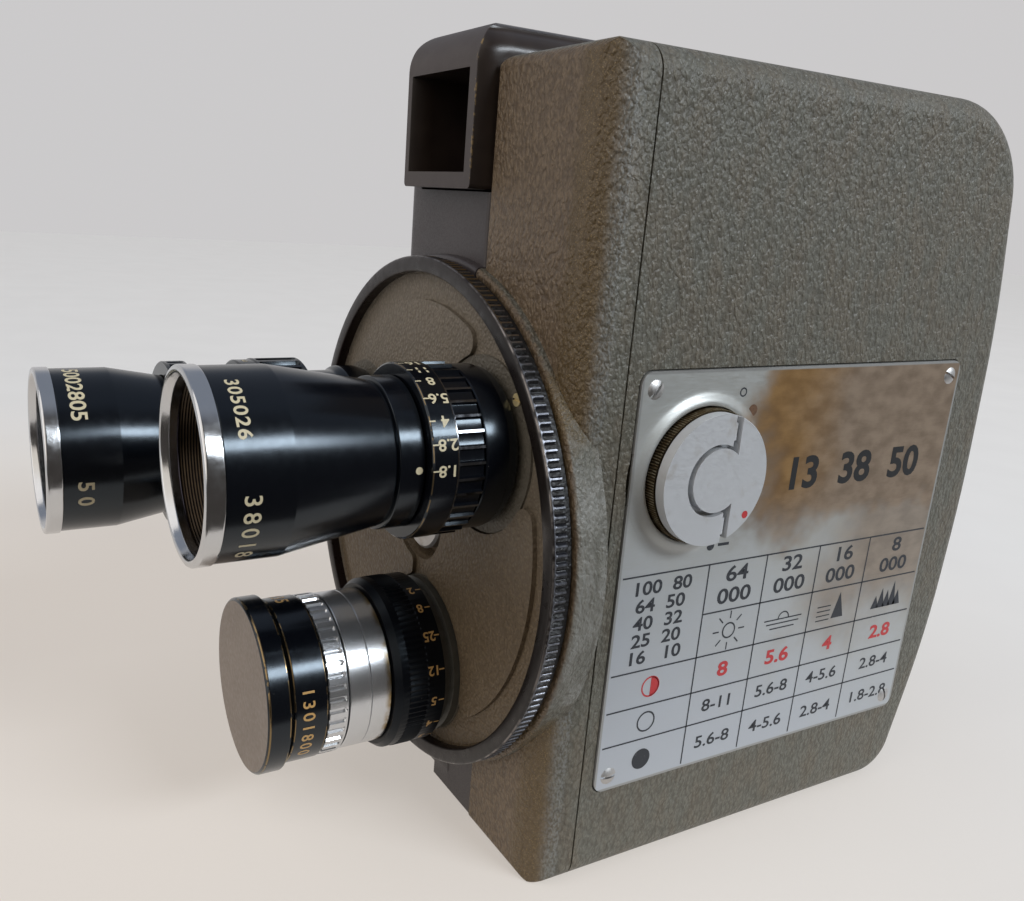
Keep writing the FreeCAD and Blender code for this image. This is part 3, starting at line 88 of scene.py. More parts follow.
class Look:
    """One finish: a principled shader and the nodes that vary it, with every length in millimetres."""

    def __init__(self, name, rough=0.4, metal=0.0, colour=(0.5, 0.5, 0.5)):
        self.mat = bpy.data.materials.new(name)
        self.mat.use_nodes = True
        self.tree = self.mat.node_tree
        self.shader = self.tree.nodes["Principled BSDF"]
        self.shader.inputs["Roughness"].default_value = rough
        self.shader.inputs["Metallic"].default_value = metal
        self.shader.inputs["Base Color"].default_value = (*colour, 1)
        place = self.tree.nodes.new("ShaderNodeTexCoord")
        scale = self.tree.nodes.new("ShaderNodeVectorMath")
        scale.operation = "SCALE"
        scale.inputs["Scale"].default_value = 1 / MM
        self.tree.links.new(place.outputs["Object"], scale.inputs[0])
        self.place = scale.outputs["Vector"]

    def add(self, kind, sources, **settings):
        node = self.tree.nodes.new(kind)
        for key, value in settings.items():
            setattr(node, key, value)
        for key, value in sources.items():
            if isinstance(value, bpy.types.NodeSocket):
                self.tree.links.new(value, node.inputs[key])
            else:
                node.inputs[key].default_value = value
        return node

    def stretched(self, stretch):
        return self.add("ShaderNodeVectorMath", {0: self.place, 1: stretch}, operation="MULTIPLY").outputs[0]

    def noise(self, size, detail=2.0, stretch=(1, 1, 1)):
        sources = {"Vector": self.stretched(stretch), "Scale": 1 / size, "Detail": detail}
        return self.add("ShaderNodeTexNoise", sources).outputs["Fac"]

    def cells(self, size, wander=0.0, stretch=(1, 1, 1)):
        vector = self.stretched(stretch)
        if wander:
            drift = self.add("ShaderNodeTexNoise", {"Vector": self.place, "Scale": 0.6 / size, "Detail": 1.0})
            shift = self.add(
                "ShaderNodeVectorMath", {0: drift.outputs["Color"], "Scale": wander}, operation="SCALE")
            vector = self.add("ShaderNodeVectorMath", {0: vector, 1: shift.outputs[0]}).outputs[0]
        node = self.add("ShaderNodeTexVoronoi", {"Vector": vector, "Scale": 1 / size}, feature="SMOOTH_F1")
        node.inputs["Smoothness"].default_value = 0.45
        return node.outputs["Distance"]

    def sum(self, a, b, kind="ADD"):
        return self.add("ShaderNodeMath", {0: a, 1: b}, operation=kind).outputs[0]

    def rise(self, source, low, high):
        sources = {"Value": source, "From Min": low, "From Max": high}
        return self.add("ShaderNodeMapRange", sources, interpolation_type="SMOOTHSTEP").outputs["Result"]

    def spread(self, low, high, size, detail=2.0, stretch=(1, 1, 1)):
        return self.rise(self.noise(size, detail, stretch), low, high)

    def along(self, letter, low, high):
        return self.rise(self.axis(letter), low, high)

    def toward(self, letter, low, high):
        # How far the surface faces along an axis of the part.
        coordinates = self.add("ShaderNodeTexCoord", {})
        facing = self.add("ShaderNodeSeparateXYZ", {0: coordinates.outputs["Normal"]}).outputs[letter]
        return self.rise(facing, low, high)

    def blend(self, share, a, b):
        a, b = ((*c, 1) if isinstance(c, tuple) else c for c in (a, b))
        return self.add("ShaderNodeMixRGB", {"Fac": share, "Color1": a, "Color2": b}).outputs["Color"]

    def axis(self, letter):
        return self.add("ShaderNodeSeparateXYZ", {0: self.place}).outputs[letter]

    def distance(self, centre, stretch=(1, 1, 1)):
        away = self.add("ShaderNodeVectorMath", {0: self.place, 1: centre}, operation="SUBTRACT").outputs[0]
        away = self.add("ShaderNodeVectorMath", {0: away, 1: stretch}, operation="MULTIPLY").outputs[0]
        return self.add("ShaderNodeVectorMath", {0: away}, operation="LENGTH").outputs["Value"]

    def from_axis(self, x, z):
        # Distance from the line along Y through (x, z).
        return self.distance((x, 0, z), (1, 0, 1))

    def both(self, *shares):
        product = shares[0]
        for share in shares[1:]:
            product = self.sum(product, share, "MULTIPLY")
        return product

    def reach(self, *sides):
        # Length of the vector with the given components.
        vector = self.add("ShaderNodeCombineXYZ", dict(enumerate(sides)))
        return self.add("ShaderNodeVectorMath", {0: vector.outputs[0]}, operation="LENGTH").outputs["Value"]

    def bump(self, height, depth, strength=1.0):
        sources = {"Height": height, "Distance": depth * MM, "Strength": strength}
        bump = self.add("ShaderNodeBump", sources)
        self.tree.links.new(bump.outputs["Normal"], self.shader.inputs["Normal"])

    def set(self, **sources):
        names = {"colour": "Base Color", "rough": "Roughness", "metal": "Metallic"}
        for key, value in sources.items():
            self.tree.links.new(value, self.shader.inputs[names[key]])
        return self.mat


FLOOR_EDGE = (
    (-1.85, -0.9), (0.045, -0.9), (0.045, -0.16), (0.072, -0.06), (0.092, 0.01), (0.14, 0.06), (0.24, 0.30),
    (0.32, 3.0), (-1.85, 3.0))
floor_mesh = bpy.data.meshes.new("floor")
corners = [(x, y, 0) for x, y in FLOOR_EDGE]
floor_mesh.from_pydata(corners, [], [tuple(range(len(corners)))])
floor = bpy.data.objects.new("floor", floor_mesh)
scene.collection.objects.link(floor)
paper = Look("floor_paper", rough=0.9)
pale = paper.blend(paper.noise(40.0, 2.0), (0.80, 0.79, 0.78), (0.85, 0.84, 0.83))
# Painted warm light: the paper to the left of and in front of the lenses is tinted warmer.
warm_light_patch = paper.rise(paper.distance((-60, -100, 0)), 330.0, 40.0)
paper_colour = paper.blend(warm_light_patch, pale, (0.86, 0.79, 0.72))
paper.set(colour=paper_colour)
paper.bump(paper.noise(0.6, 3.0), 0.05, 0.3)
# Seen directly or in metal and glass, the paper is half its own pale colour and half lit.
glow = paper.add("ShaderNodeEmission", {"Color": paper_colour, "Strength": 0.92})
rays = paper.add("ShaderNodeLightPath", {})
seen = paper.sum(rays.outputs["Is Camera Ray"], rays.outputs["Is Glossy Ray"], "MAXIMUM")
seen = paper.sum(seen, rays.outputs["Is Transmission Ray"], "MAXIMUM")
shaders = {1: paper.shader.outputs["BSDF"], 2: glow.outputs["Emission"]}
pair = paper.add("ShaderNodeMixShader", {0: paper.both(seen, 0.55), **shaders})
paper.tree.links.new(pair.outputs["Shader"], paper.tree.nodes["Material Output"].inputs["Surface"])
floor_mesh.materials.append(paper.mat)

# The room is a pale wall behind the camera body, a dim ceiling, and dark on the near side.
WALL, CEILING, DARK_SIDE = (0.60, 0.59, 0.595, 1), (0.26, 0.29, 0.35, 1), (0.060, 0.054, 0.050, 1)
world = bpy.data.worlds.new("world")
scene.world = world
world.use_nodes = True
add, link = world.node_tree.nodes.new, world.node_tree.links.new
outward, split = add("ShaderNodeTexCoord"), add("ShaderNodeSeparateXYZ")
link(outward.outputs["Generated"], split.inputs[0])


def mixed(share, *colours):
    # A blend of two colours of the room, each of them plain or linked.
    shade = add("ShaderNodeMixRGB")
    link(share, shade.inputs["Fac"])
    for slot, colour in zip(("Color1", "Color2"), colours):
        if isinstance(colour, tuple):
            shade.inputs[slot].default_value = colour
        else:
            link(colour, shade.inputs[slot])
    return shade.outputs["Color"]


SHADES = (("Z", 0.28, 0.60, CEILING), ("X", 0.15, 0.60, DARK_SIDE), ("Z", -0.10, -0.25, DARK_SIDE))
room_colour = WALL
for letter, low, high, colour in SHADES:
    share = add("ShaderNodeMapRange")
    share.interpolation_type = "SMOOTHSTEP"
    share.inputs["From Min"].default_value, share.inputs["From Max"].default_value = low, high
    link(split.outputs[letter], share.inputs["Value"])
    room_colour = mixed(share.outputs["Result"], room_colour, colour)
sky = mixed(add("ShaderNodeLightPath").outputs["Is Camera Ray"], room_colour, WALL)
link(sky, world.node_tree.nodes["Background"].inputs["Color"])


# Body casting and film door: die-cast light alloy, spattered and baked with an olive wrinkle paint that
# dries in small soft pebbles.
# The paint is browner on the front, worn through at the top corner, and the door is a separate deep shell.
PEBBLE = 0.62
# Pebble colours: the hollows carry painted shade and the crests painted light, on the side and on the browner
# front.
SHADED_HOLLOWS = (0.092, 0.087, 0.068)
LIT_CRESTS = (0.155, 0.150, 0.122)
SHADED_BROWN_HOLLOWS = (0.098, 0.066, 0.038)
LIT_BROWN_CRESTS = (0.180, 0.128, 0.078)
RUBBED_GOLD = (0.30, 0.205, 0.085)
FRONT_Y = -40.0
CHIP_PLACE = (39.1, -39.2, 126.3)
DENT_SHADE_PLACE = (40.0, -38.2, 127.2)


def wire(tree, *wires):
    # Links the nodes of a tree: each wire is a node, its output, the next node and its input.
    for source, out, target, into in wires:
        tree.links.new(source.outputs[out], target.inputs[into])


def soft_shading():
    # Smooth faces whose edges stay hard where the surface turns by more than the angle.
    tree = bpy.data.node_groups.new("soft_shading", "GeometryNodeTree")
    tree.interface.new_socket("Geometry", in_out="INPUT", socket_type="NodeSocketGeometry")
    limit = tree.interface.new_socket("Sharpest angle", in_out="INPUT", socket_type="NodeSocketFloat")
    limit.default_value = math.radians(32)
    tree.interface.new_socket("Geometry", in_out="OUTPUT", socket_type="NodeSocketGeometry")
    add = tree.nodes.new
    start, end = add("NodeGroupInput"), add("NodeGroupOutput")
    weld = add("GeometryNodeMergeByDistance")
    weld.inputs["Distance"].default_value = 1e-6
    edge = add("GeometryNodeInputMeshEdgeAngle")
    gentle = add("FunctionNodeCompare")
    gentle.operation = "LESS_THAN"
    soft_faces, soft_edges = add("GeometryNodeSetShadeSmooth"), add("GeometryNodeSetShadeSmooth")
    soft_faces.domain, soft_edges.domain = "FACE", "EDGE"
    wire(
        tree,
        (start, "Geometry", weld, "Geometry"),
        (edge, "Unsigned Angle", gentle, "A"),
        (start, "Sharpest angle", gentle, "B"),
        (weld, "Geometry", soft_faces, "Geometry"),
        (soft_faces, "Geometry", soft_edges, "Geometry"),
        (gentle, "Result", soft_edges, "Shade Smooth"),
        (soft_edges, "Geometry", end, "Geometry"),
    )
    return tree


SOFT = soft_shading()


def dress(names, finish):
    # Gives CAD nodes their finish and rounds off their shading.
    for name in names.split():
        piece = nodes[name]
        piece.data.materials.clear()
        piece.data.materials.append(finish)
        piece.modifiers.new("soft_shading", "NODES").node_group = SOFT


def olive_paint(look):
    # The wrinkles run mostly upright, and the front is browner than the side.
    pebbles = look.cells(PEBBLE, wander=0.8, stretch=(1, 1, 0.6))
    fine = look.noise(0.30, 3.0, (1, 1, 0.6))
    height = look.sum(look.both(pebbles, -0.8), look.both(fine, 0.5))
    look.bump(height, 0.36, 1.0)
    # The crests are painted lighter and the hollows darker: painted light and shade on the relief.
    lit = look.rise(height, -0.45, 0.20)
    streak = look.spread(0.35, 0.70, 3.0, 3.0, (1, 1, 0.35))
    side = look.blend(lit, SHADED_HOLLOWS, LIT_CRESTS)
    brown = look.blend(lit, SHADED_BROWN_HOLLOWS, LIT_BROWN_CRESTS)
    side = look.blend(look.both(streak, 0.30), side, brown)
    front = look.both(look.along("Y", FRONT_Y + 4.5, FRONT_Y + 0.5), look.toward("Y", -0.3, -0.8))
    # A painted highlight: the rounded front corner is painted a lighter grey-olive.
    rounding_highlight = look.both(
        look.toward("X", 0.60, 0.90), look.toward("Y", -0.12, -0.40), look.rise(fine, 0.40, 0.62), 0.6)
    # A painted reflection: the boss's side facing the door side is painted a lighter grey.
    boss_side_reflection = look.both(
        look.along("X", 41.05, 41.6), look.toward("X", 0.3, 0.7), look.rise(streak, -0.6, 1.2))
    painted = look.blend(rounding_highlight, look.blend(front, side, brown), (0.22, 0.225, 0.22))
    return look.blend(boss_side_reflection, painted, (0.215, 0.212, 0.19))


olive = Look("olive_wrinkle_paint", rough=0.5)
painted = olive_paint(olive)
across = olive.sum(olive.axis("X"), olive.both(olive.noise(3.5, 3.0), 5.0))
band = olive.both(
    olive.rise(across, 34.5, 37.5), olive.rise(across, 43.5, 40.5),
    olive.along("Y", FRONT_Y + 3.0, FRONT_Y + 1.5))
glint = olive.spread(0.55, 0.70, 0.16, 2.0)
golden = olive.blend(glint, (0.085, 0.055, 0.020), RUBBED_GOLD)
painted = olive.blend(olive.both(band, 0.75), painted, golden)
ragged = olive.both(olive.noise(0.6, 3.0), 1.2)
bare = olive.rise(olive.sum(olive.distance(CHIP_PLACE), ragged), 1.5, 1.2)
# A painted shade: a nearly black spot where a small dent in the top corner lies in shade.
dent = olive.rise(olive.sum(olive.distance(DENT_SHADE_PLACE), ragged), 1.7, 1.2)
painted = olive.blend(olive.both(dent, 0.8), painted, (0.020, 0.016, 0.010))
olive.set(
    colour=olive.blend(bare, painted, (0.55, 0.44, 0.26)),
    metal=bare,
    rough=olive.spread(-0.75, 1.9, 0.5),
)
dress("main_casting film_door", olive.mat)


# Mechanism cover and its screws: the black half of the body, a pressed and machined shell under satin
# enamel, gone slightly brown with age.
# Four slotted screws hold it to the pillars of the casting.
satin = Look("satin_black_enamel", rough=0.42)
dust = satin.noise(0.25, 3.0)
satin.bump(satin.noise(2.5), 0.015, 0.5)
enamel = satin.blend(satin.spread(0.3, 0.7, 12.0), (0.040, 0.033, 0.034), (0.052, 0.043, 0.044))
satin.set(
    colour=satin.blend(satin.rise(dust, 0.74, 0.82), enamel, (0.13, 0.115, 0.10)),
    rough=satin.rise(dust, -0.6, 1.9),
)
dress("mechanism_cover", satin.mat)


def machined(name, colour, rough, stretch=(1, 1, 1), size=0.25, tarnish=(0.30, 0.24, 0.16), metal=1.0):
    # Bright turned, milled or ground metal, with tool lines across the stretched directions and dull spots.
    look = Look(name, rough=rough, metal=metal)
    lines = look.noise(size, 3.0, stretch)
    stain = look.spread(0.58, 0.82, 3.5, 4.0)
    look.bump(lines, 0.01, 0.5)
    lighter = tuple(1.12 * c for c in colour)
    look.set(
        colour=look.blend(look.both(stain, 0.5), look.blend(lines, colour, lighter), tarnish),
        rough=look.rise(lines, -rough * 2.2, 2.4 - rough * 2.2),
    )
    return look.mat


steel = machined("ground_steel", (0.50, 0.49, 0.48), 0.32)
dress("cover_pillars", steel)


def mesh_piece(name, mesh, finish, body, stands_for=""):
    # Puts a finished mesh in the scene, riding on its body and standing for the CAD nodes named.
    piece = bpy.data.objects.new(name, mesh)
    scene.collection.objects.link(piece)
    mesh.materials.clear()
    mesh.materials.append(finish)
    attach(piece, body)
    if stands_for:
        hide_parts(*stands_for.split())
    return piece


def sharpen(mesh, degrees=36):
    # Smooth faces, with hard edges where the surface turns by more than the angle.
    shape = bmesh.new()
    shape.from_mesh(mesh)
    bmesh.ops.remove_doubles(shape, verts=shape.verts, dist=1e-7)
    bmesh.ops.recalc_face_normals(shape, faces=shape.faces)
    for face in shape.faces:
        face.smooth = True
    for edge in shape.edges:
        edge.smooth = len(edge.link_faces) == 2 and edge.calc_face_angle() < math.radians(degrees)
    shape.to_mesh(mesh)
    shape.free()
    return mesh


def eased(outline, size):
    # Rounds each corner of a closed outline by a small three-point arc.
    points = []
    n = len(outline)
    for i, corner in enumerate(outline):
        p = Vector(corner)
        before, after = Vector(outline[i - 1]) - p, Vector(outline[(i + 1) % n]) - p
        turn = math.pi - before.angle(after) if before.length and after.length else 0.0
        if turn < 0.3 or p.x <= 0:
            points.append(tuple(p))
            continue
        reach = min(size, 0.45 * before.length, 0.45 * after.length)
        a, b = p + before.normalized() * reach, p + after.normalized() * reach
        points += [tuple(a), tuple((a + b) * 0.25 + p * 0.5), tuple(b)]
    return points


def braced(outline, reach=0.12):
    # Adds a point near each end of a long side, so that rounded corners don't bend its shading.
    points = []
    for i, corner in enumerate(outline):
        a, b = Vector(corner), Vector(outline[(i + 1) % len(outline)])
        points.append(tuple(a))
        if (b - a).length > 5 * reach:
            step = (b - a).normalized() * reach
            points += [tuple(a + step), tuple(b - step)]
    return points


def turned(name, centre, outline, steps=144, along="Y", ease=0.12, degrees=36):
    # Spins a closed outline of (radius, distance along the axis) round the axis through centre, all in mm.
    outline = braced(eased(outline, ease))
    verts, faces = [], []
    n = len(outline)
    for i in range(steps):
        angle = 2 * math.pi * i / steps
        for r, along_axis in outline:
            a, b = centre[0] + r * math.cos(angle), centre[1] + r * math.sin(angle)
            point = (a, along_axis, b) if along == "Y" else (along_axis, a, b)
            verts.append(tuple(c * MM for c in point))
    for i in range(steps):
        j = (i + 1) % steps
        for k in range(n):
            m = (k + 1) % n
            faces.append((i * n + k, i * n + m, j * n + m, j * n + k))
    mesh = bpy.data.meshes.new(name)
    mesh.from_pydata(verts, [], faces)
    return sharpen(mesh, degrees)


def corners_tree():
    # Puts one piece at each vertex of the host mesh, and gives all of them one finish.
    tree = bpy.data.node_groups.new("one_at_each_place", "GeometryNodeTree")
    kinds = {
        "Places": "Geometry", "Piece": "Object", "Turn step": "Float", "Axis": "Vector", "Finish": "Material"}
    for name, kind in kinds.items():
        tree.interface.new_socket(name, in_out="INPUT", socket_type="NodeSocket" + kind)
    tree.interface.new_socket("Pieces", in_out="OUTPUT", socket_type="NodeSocketGeometry")
    add = tree.nodes.new
    start, end = add("NodeGroupInput"), add("NodeGroupOutput")
    info, index, turn = add("GeometryNodeObjectInfo"), add("GeometryNodeInputIndex"), add("ShaderNodeMath")
    turn.operation = "MULTIPLY"
    rotation = add("FunctionNodeAxisAngleToRotation")
    each, real = add("GeometryNodeInstanceOnPoints"), add("GeometryNodeRealizeInstances")
    paint = add("GeometryNodeSetMaterial")
    wire(
        tree,
        (start, "Piece", info, "Object"),
        (index, "Index", turn, 0),
        (start, "Turn step", turn, 1),
        (start, "Axis", rotation, "Axis"),
        (turn, "Value", rotation, "Angle"),
        (start, "Places", each, "Points"),
        (info, "Geometry", each, "Instance"),
        (rotation, "Rotation", each, "Rotation"),
        (each, "Instances", real, "Geometry"),
        (real, "Geometry", paint, "Geometry"),
        (start, "Finish", paint, "Material"),
        (paint, "Geometry", end, "Pieces"),
    )
    return tree


EACH_PLACE = corners_tree()


def repeated(name, pattern, places, finish, turn_step=0.0, axis=(0, 1, 0)):
    # A plain mesh of the pattern mesh set at each place, each turned a step further about the axis.
    piece = bpy.data.objects.new(name + "_pattern", pattern)
    host_mesh = bpy.data.meshes.new(name)
    host_mesh.from_pydata([tuple(p) for p in places], [], [])
    host = bpy.data.objects.new(name + "_places", host_mesh)
    scene.collection.objects.link(host)
    scene.collection.objects.link(piece)
    modifier = host.modifiers.new("places", "NODES")
    modifier.node_group = EACH_PLACE
    values = {"Piece": piece, "Turn step": turn_step, "Axis": axis, "Finish": finish}
    for item in EACH_PLACE.interface.items_tree:
        if item.in_out == "INPUT" and item.name in values:
            modifier[item.identifier] = values[item.name]
    host.update_tag()
    depsgraph = bpy.context.evaluated_depsgraph_get()
    mesh = bpy.data.meshes.new_from_object(host.evaluated_get(depsgraph))
    mesh.name = name
    bpy.data.objects.remove(host)
    bpy.data.objects.remove(piece)
    return mesh


def screw_head(radius, dome, slot_width, slot_depth, direction):
    # A domed head about X with a straight slot: two half domes with a sunk floor between them.
    shape = bmesh.new()
    rings, steps, skirt_depth = 5, 12, 0.3
    half = slot_width / 2
    for sign in (-1, 1):
        start = math.asin(half / radius)
        grid = []
        for k in range(rings + 1):
            share = k / rings
            row = []
            for i in range(steps + 1):
                angle = start + (math.pi - 2 * start) * i / steps
                y, z = radius * math.cos(angle), radius * math.sin(angle)
                y, z = y * share, half + (z - half) * share
                lift = dome * (1 - (y * y + z * z) / radius ** 2)
                row.append(shape.verts.new((direction * lift * MM, y * MM, sign * z * MM)))
            grid.append(row)
        for k in range(rings):
            for i in range(steps):
                shape.faces.new((grid[k][i], grid[k][i + 1], grid[k + 1][i + 1], grid[k + 1][i]))
        skirt = [shape.verts.new(v.co + Vector((-direction * skirt_depth * MM, 0, 0))) for v in grid[-1]]
        for i in range(steps):
            shape.faces.new((grid[-1][i], grid[-1][i + 1], skirt[i + 1], skirt[i]))
    edge = math.sqrt(radius ** 2 - half ** 2)
    low, high = -direction * slot_depth, direction * 0.02
    sides = [[(low, -edge, -half), (low, edge, -half), (low, edge, half), (low, -edge, half)]]
    for z in (-half, half):
        sides.append(
            [(low, -edge, z), (low, edge, z), (high, edge, z), (direction * dome, 0, z), (high, -edge, z)])
    for side in sides:
        shape.faces.new([shape.verts.new(Vector(c) * MM) for c in side])
    mesh = bpy.data.meshes.new("screw")
    shape.to_mesh(mesh)
    shape.free()
    return sharpen(mesh, 50)


COVER_SCREWS = ((-31.0, 9.0), (43.0, 9.0), (46.0, 103.5), (-31.0, 103.0))
places = [Vector((-20.0, y, z)) * MM for y, z in COVER_SCREWS]
heads = repeated("cover_screw_heads", screw_head(2.4, 0.8, 0.6, 0.3, -1), places, steel, 1.3, (1, 0, 0))
mesh_piece("cover_screw_heads", sharpen(heads, 50), steel, "body", "cover_screws")


# Viewfinder: a long black housing set into the top left corner, with a deep hooded window and a square
# front lens, and a round eyepiece with a rubber cup at the back.
# Its front edges are worn through the enamel to bright brass.
hood = Look("hood_enamel", rough=0.3)
hood.shader.inputs["Specular IOR Level"].default_value = 0.4
ROLL_Y, ROLL_Z, ROLL_R = -36.8, 128.7, 6.5
before = hood.sum(hood.sum(ROLL_Y, hood.axis("Y"), "SUBTRACT"), 0.0, "MAXIMUM")
over = hood.sum(hood.sum(hood.axis("Z"), ROLL_Z, "SUBTRACT"), 0.0, "MAXIMUM")
on_front = hood.both(
    hood.rise(hood.reach(before, over), ROLL_R - 0.18, ROLL_R - 0.05), hood.rise(before, 0.1, 1.6))
grey = hood.blend(hood.noise(2.0, 4.0), (0.052, 0.041, 0.039), (0.078, 0.064, 0.060))
black = hood.blend(hood.spread(0.3, 0.7, 7.0), (0.022, 0.015, 0.012), (0.034, 0.024, 0.019))
frayed = hood.sum(hood.noise(0.8, 4.0), hood.both(hood.noise(5.0, 2.0), 0.6))
near_side = hood.rise(hood.sum(hood.axis("X"), hood.both(frayed, 0.9)), 10.72, 10.95)
near_front = hood.rise(hood.reach(before, over), ROLL_R - 0.30, ROLL_R - 0.12)
worn_away = hood.both(near_side, near_front, hood.rise(before, 0.1, 1.6), hood.rise(frayed, 0.78, 0.90), 0.55)
rounding = hood.sum(hood.sum(hood.reach(before, over), 2.0, "SUBTRACT"), 0.0, "MAXIMUM")
rounding = hood.both(rounding, rounding, hood.toward("X", 0.5, 0.8), -0.075)
hood.bump(hood.sum(rounding, hood.both(hood.noise(0.7, 3.0), 0.01)), 1.0, 1.0)
hood.set(
    colour=hood.blend(worn_away, hood.blend(on_front, black, grey), (0.42, 0.29, 0.13)),
    metal=worn_away,
    rough=hood.sum(hood.sum(hood.both(hood.noise(1.4, 3.0), 0.06), 0.27), hood.both(on_front, 0.20)),
)
dress("finder_housing", hood.mat)
# The glass is drawn opaque and nearly black under its coat: painted shade for the dark inside of the lenses
# and the finder.
glass_and_inner_shade = Look("coated_glass_inner_shade", rough=0.03, colour=(0.012, 0.010, 0.014))
glass_and_inner_shade.shader.inputs["Coat Weight"].default_value = 0.6
glass_and_inner_shade.shader.inputs["Coat Tint"].default_value = (0.75, 0.6, 0.95, 1)
glass_and_inner_shade.shader.inputs["Specular IOR Level"].default_value = 0.7
glass_and_inner_shade.set(rough=glass_and_inner_shade.spread(-0.5, 14.0, 3.0))
dress("finder_lenses short_tele_glass long_tele_glass standard_glass", glass_and_inner_shade.mat)
rubber = Look("eyecup_rubber", rough=0.75, colour=(0.018, 0.018, 0.018))
rubber.bump(rubber.noise(0.5, 3.0), 0.05, 0.5)
dress("finder_eyecup", rubber.mat)


# Exposure table: a thin aluminium plate let into the door, etched in black and red and fixed by four small
# slotted screws. Behind the knob, where a hand has rubbed it, the anodising is stained orange-brown.
# Its rows show kinds of light as small pictures, and apertures as plain numbers.
PLATE_X = 41.3
RULES_Z = (54.3, 45.5, 37.7, 31.1, 24.85)
RULES_Y = (-11.7, 1.4, 14.3, 27.5)
PLATE_Y, PLATE_Z = (-30.3, 43.5), (16.8, 86.3)
plate = Look("etched_plate", rough=0.38, metal=0.45)
grain = plate.noise(0.20, 3.0, (1, 0.12, 1.0))
cloud = plate.noise(11.0, 3.0)
fine_cloud = plate.noise(2.6, 4.0, (1, 0.6, 1.0))
ragged = plate.sum(plate.both(cloud, 18.0), plate.both(fine_cloud, 5.0))
along = plate.sum(plate.axis("Y"), ragged)
above = plate.sum(plate.axis("Z"), ragged)
behind_knob = plate.both(plate.rise(along, 2.0, 11.0), plate.rise(above, 64.0, 74.0))
right_columns = plate.both(plate.rise(along, 16.0, 40.0), plate.rise(above, 42.0, 60.0), 0.8)
tarnish = plate.sum(behind_knob, right_columns, "MAXIMUM")
hand_rub = plate.both(behind_knob, plate.rise(along, 30.0, 12.0), plate.along("Z", 58.0, 68.0))
# A painted shadow: a dark brown patch near the knob, laid over the stain.
knob_shadow = plate.both(behind_knob, plate.rise(along, 14.0, 5.0), plate.along("Z", 84.0, 76.0))
tint = plate.rise(plate.sum(above, plate.both(along, 0.4)), 30.0, 85.0)
silver = plate.blend(tint, (0.47, 0.50, 0.545), (0.43, 0.43, 0.395))
silver = plate.blend(plate.both(grain, 0.4), silver, (0.56, 0.60, 0.645))
brown = plate.blend(plate.rise(fine_cloud, 0.25, 0.75), (0.20, 0.145, 0.10), (0.31, 0.235, 0.17))
orange = plate.blend(plate.rise(fine_cloud, 0.25, 0.75), (0.20, 0.10, 0.022), (0.32, 0.175, 0.05))
stain_and_shade = plate.blend(tarnish, silver, brown)
stain_and_shade = plate.blend(plate.both(hand_rub, 0.85), stain_and_shade, orange)
stain_and_shade = plate.blend(plate.both(knob_shadow, 0.7), stain_and_shade, (0.16, 0.095, 0.05))
# Painted shade along the plate's edges: a band next to each edge is darkened to grey.
from_edge = [
    plate.sum(plate.sum(plate.axis(letter), -low), plate.sum(high, plate.axis(letter), "SUBTRACT"), "MINIMUM")
    for letter, (low, high) in (("Y", PLATE_Y), ("Z", PLATE_Z))]
rim = plate.rise(plate.sum(*from_edge, "MINIMUM"), 0.55, 0.30)
stain_and_shade = plate.blend(rim, stain_and_shade, (0.34, 0.34, 0.33))
plate.bump(grain, 0.010, 0.5)
plate.set(
    colour=stain_and_shade,
    rough=plate.sum(plate.rise(grain, -1.2, 2.6), plate.both(tarnish, 0.12)),
)
dress("exposure_plate", plate.mat)
plate_screw_places = [Vector((PLATE_X, y, z)) * MM for y in (-27.6, 40.8) for z in (19.5, 83.6)]
heads = repeated(
    "plate_screw_heads", screw_head(1.5, 0.45, 0.4, 0.05, 1), plate_screw_places, steel, 0.9, (1, 0, 0))
mesh_piece("plate_screw_heads", sharpen(heads, 50), steel, "door", "plate_screws")


def bar(u0, v0, u1, v1, wide):
    # A straight stroke of the given width, as points and faces in the plane.
    a, b = Vector((u0, v0)), Vector((u1, v1))
    side = Vector((a.y - b.y, b.x - a.x)).normalized() * wide / 2
    return [a - side, b - side, b + side, a + side], [(0, 1, 2, 3)]


def disc(u, v, radius, hole=0.0, part=(0.0, 1.0), steps=24):
    # A filled disc or ring, or a slice of one.
    points, faces = [], []
    for i in range(steps + 1):
        angle = 2 * math.pi * (part[0] + (part[1] - part[0]) * i / steps)
        for r in (hole, radius):
            points.append(Vector((u + r * math.cos(angle), v + r * math.sin(angle))))
    for i in range(steps):
        faces.append((2 * i, 2 * i + 1, 2 * i + 3, 2 * i + 2))
    return points, faces


def glyphs(text, size, u=0.0, v=0.0, wide=1.0, bold=0.0):
    # The filled outlines of a short number, centred on (u, v).
    # Bold is added all round, as a share of the size.
    curve = bpy.data.curves.new("glyphs", "FONT")
    curve.body = text
    curve.size = size
    curve.align_x, curve.align_y = "CENTER", "CENTER"
    curve.resolution_u = 4
    curve.offset = bold * size
    holder = bpy.data.objects.new("glyphs", curve)
    scene.collection.objects.link(holder)
    mesh = bpy.data.meshes.new_from_object(holder.evaluated_get(bpy.context.evaluated_depsgraph_get()))
    points = [Vector((p.co.x * wide + u, p.co.y + v)) for p in mesh.vertices]
    faces = [tuple(f.vertices) for f in mesh.polygons]
    bpy.data.objects.remove(holder)
    bpy.data.meshes.remove(mesh)
    return points, faces


def polygon(*corners):
    return [Vector(c) for c in corners], [tuple(range(len(corners)))]


def marks(name, shapes, mapping, finish, body):
    # One flat-lying mesh of all the shapes, each put on the surface by the mapping.
    verts, faces = [], []
    for points, shape_faces in shapes:
        start = len(verts)
        verts += [tuple(c * MM for c in mapping(p.x, p.y)) for p in points]
        faces += [tuple(start + i for i in face) for face in shape_faces]
    mesh = bpy.data.meshes.new(name)
    mesh.from_pydata(verts, [], faces)
    return mesh_piece(name, mesh, finish, body)


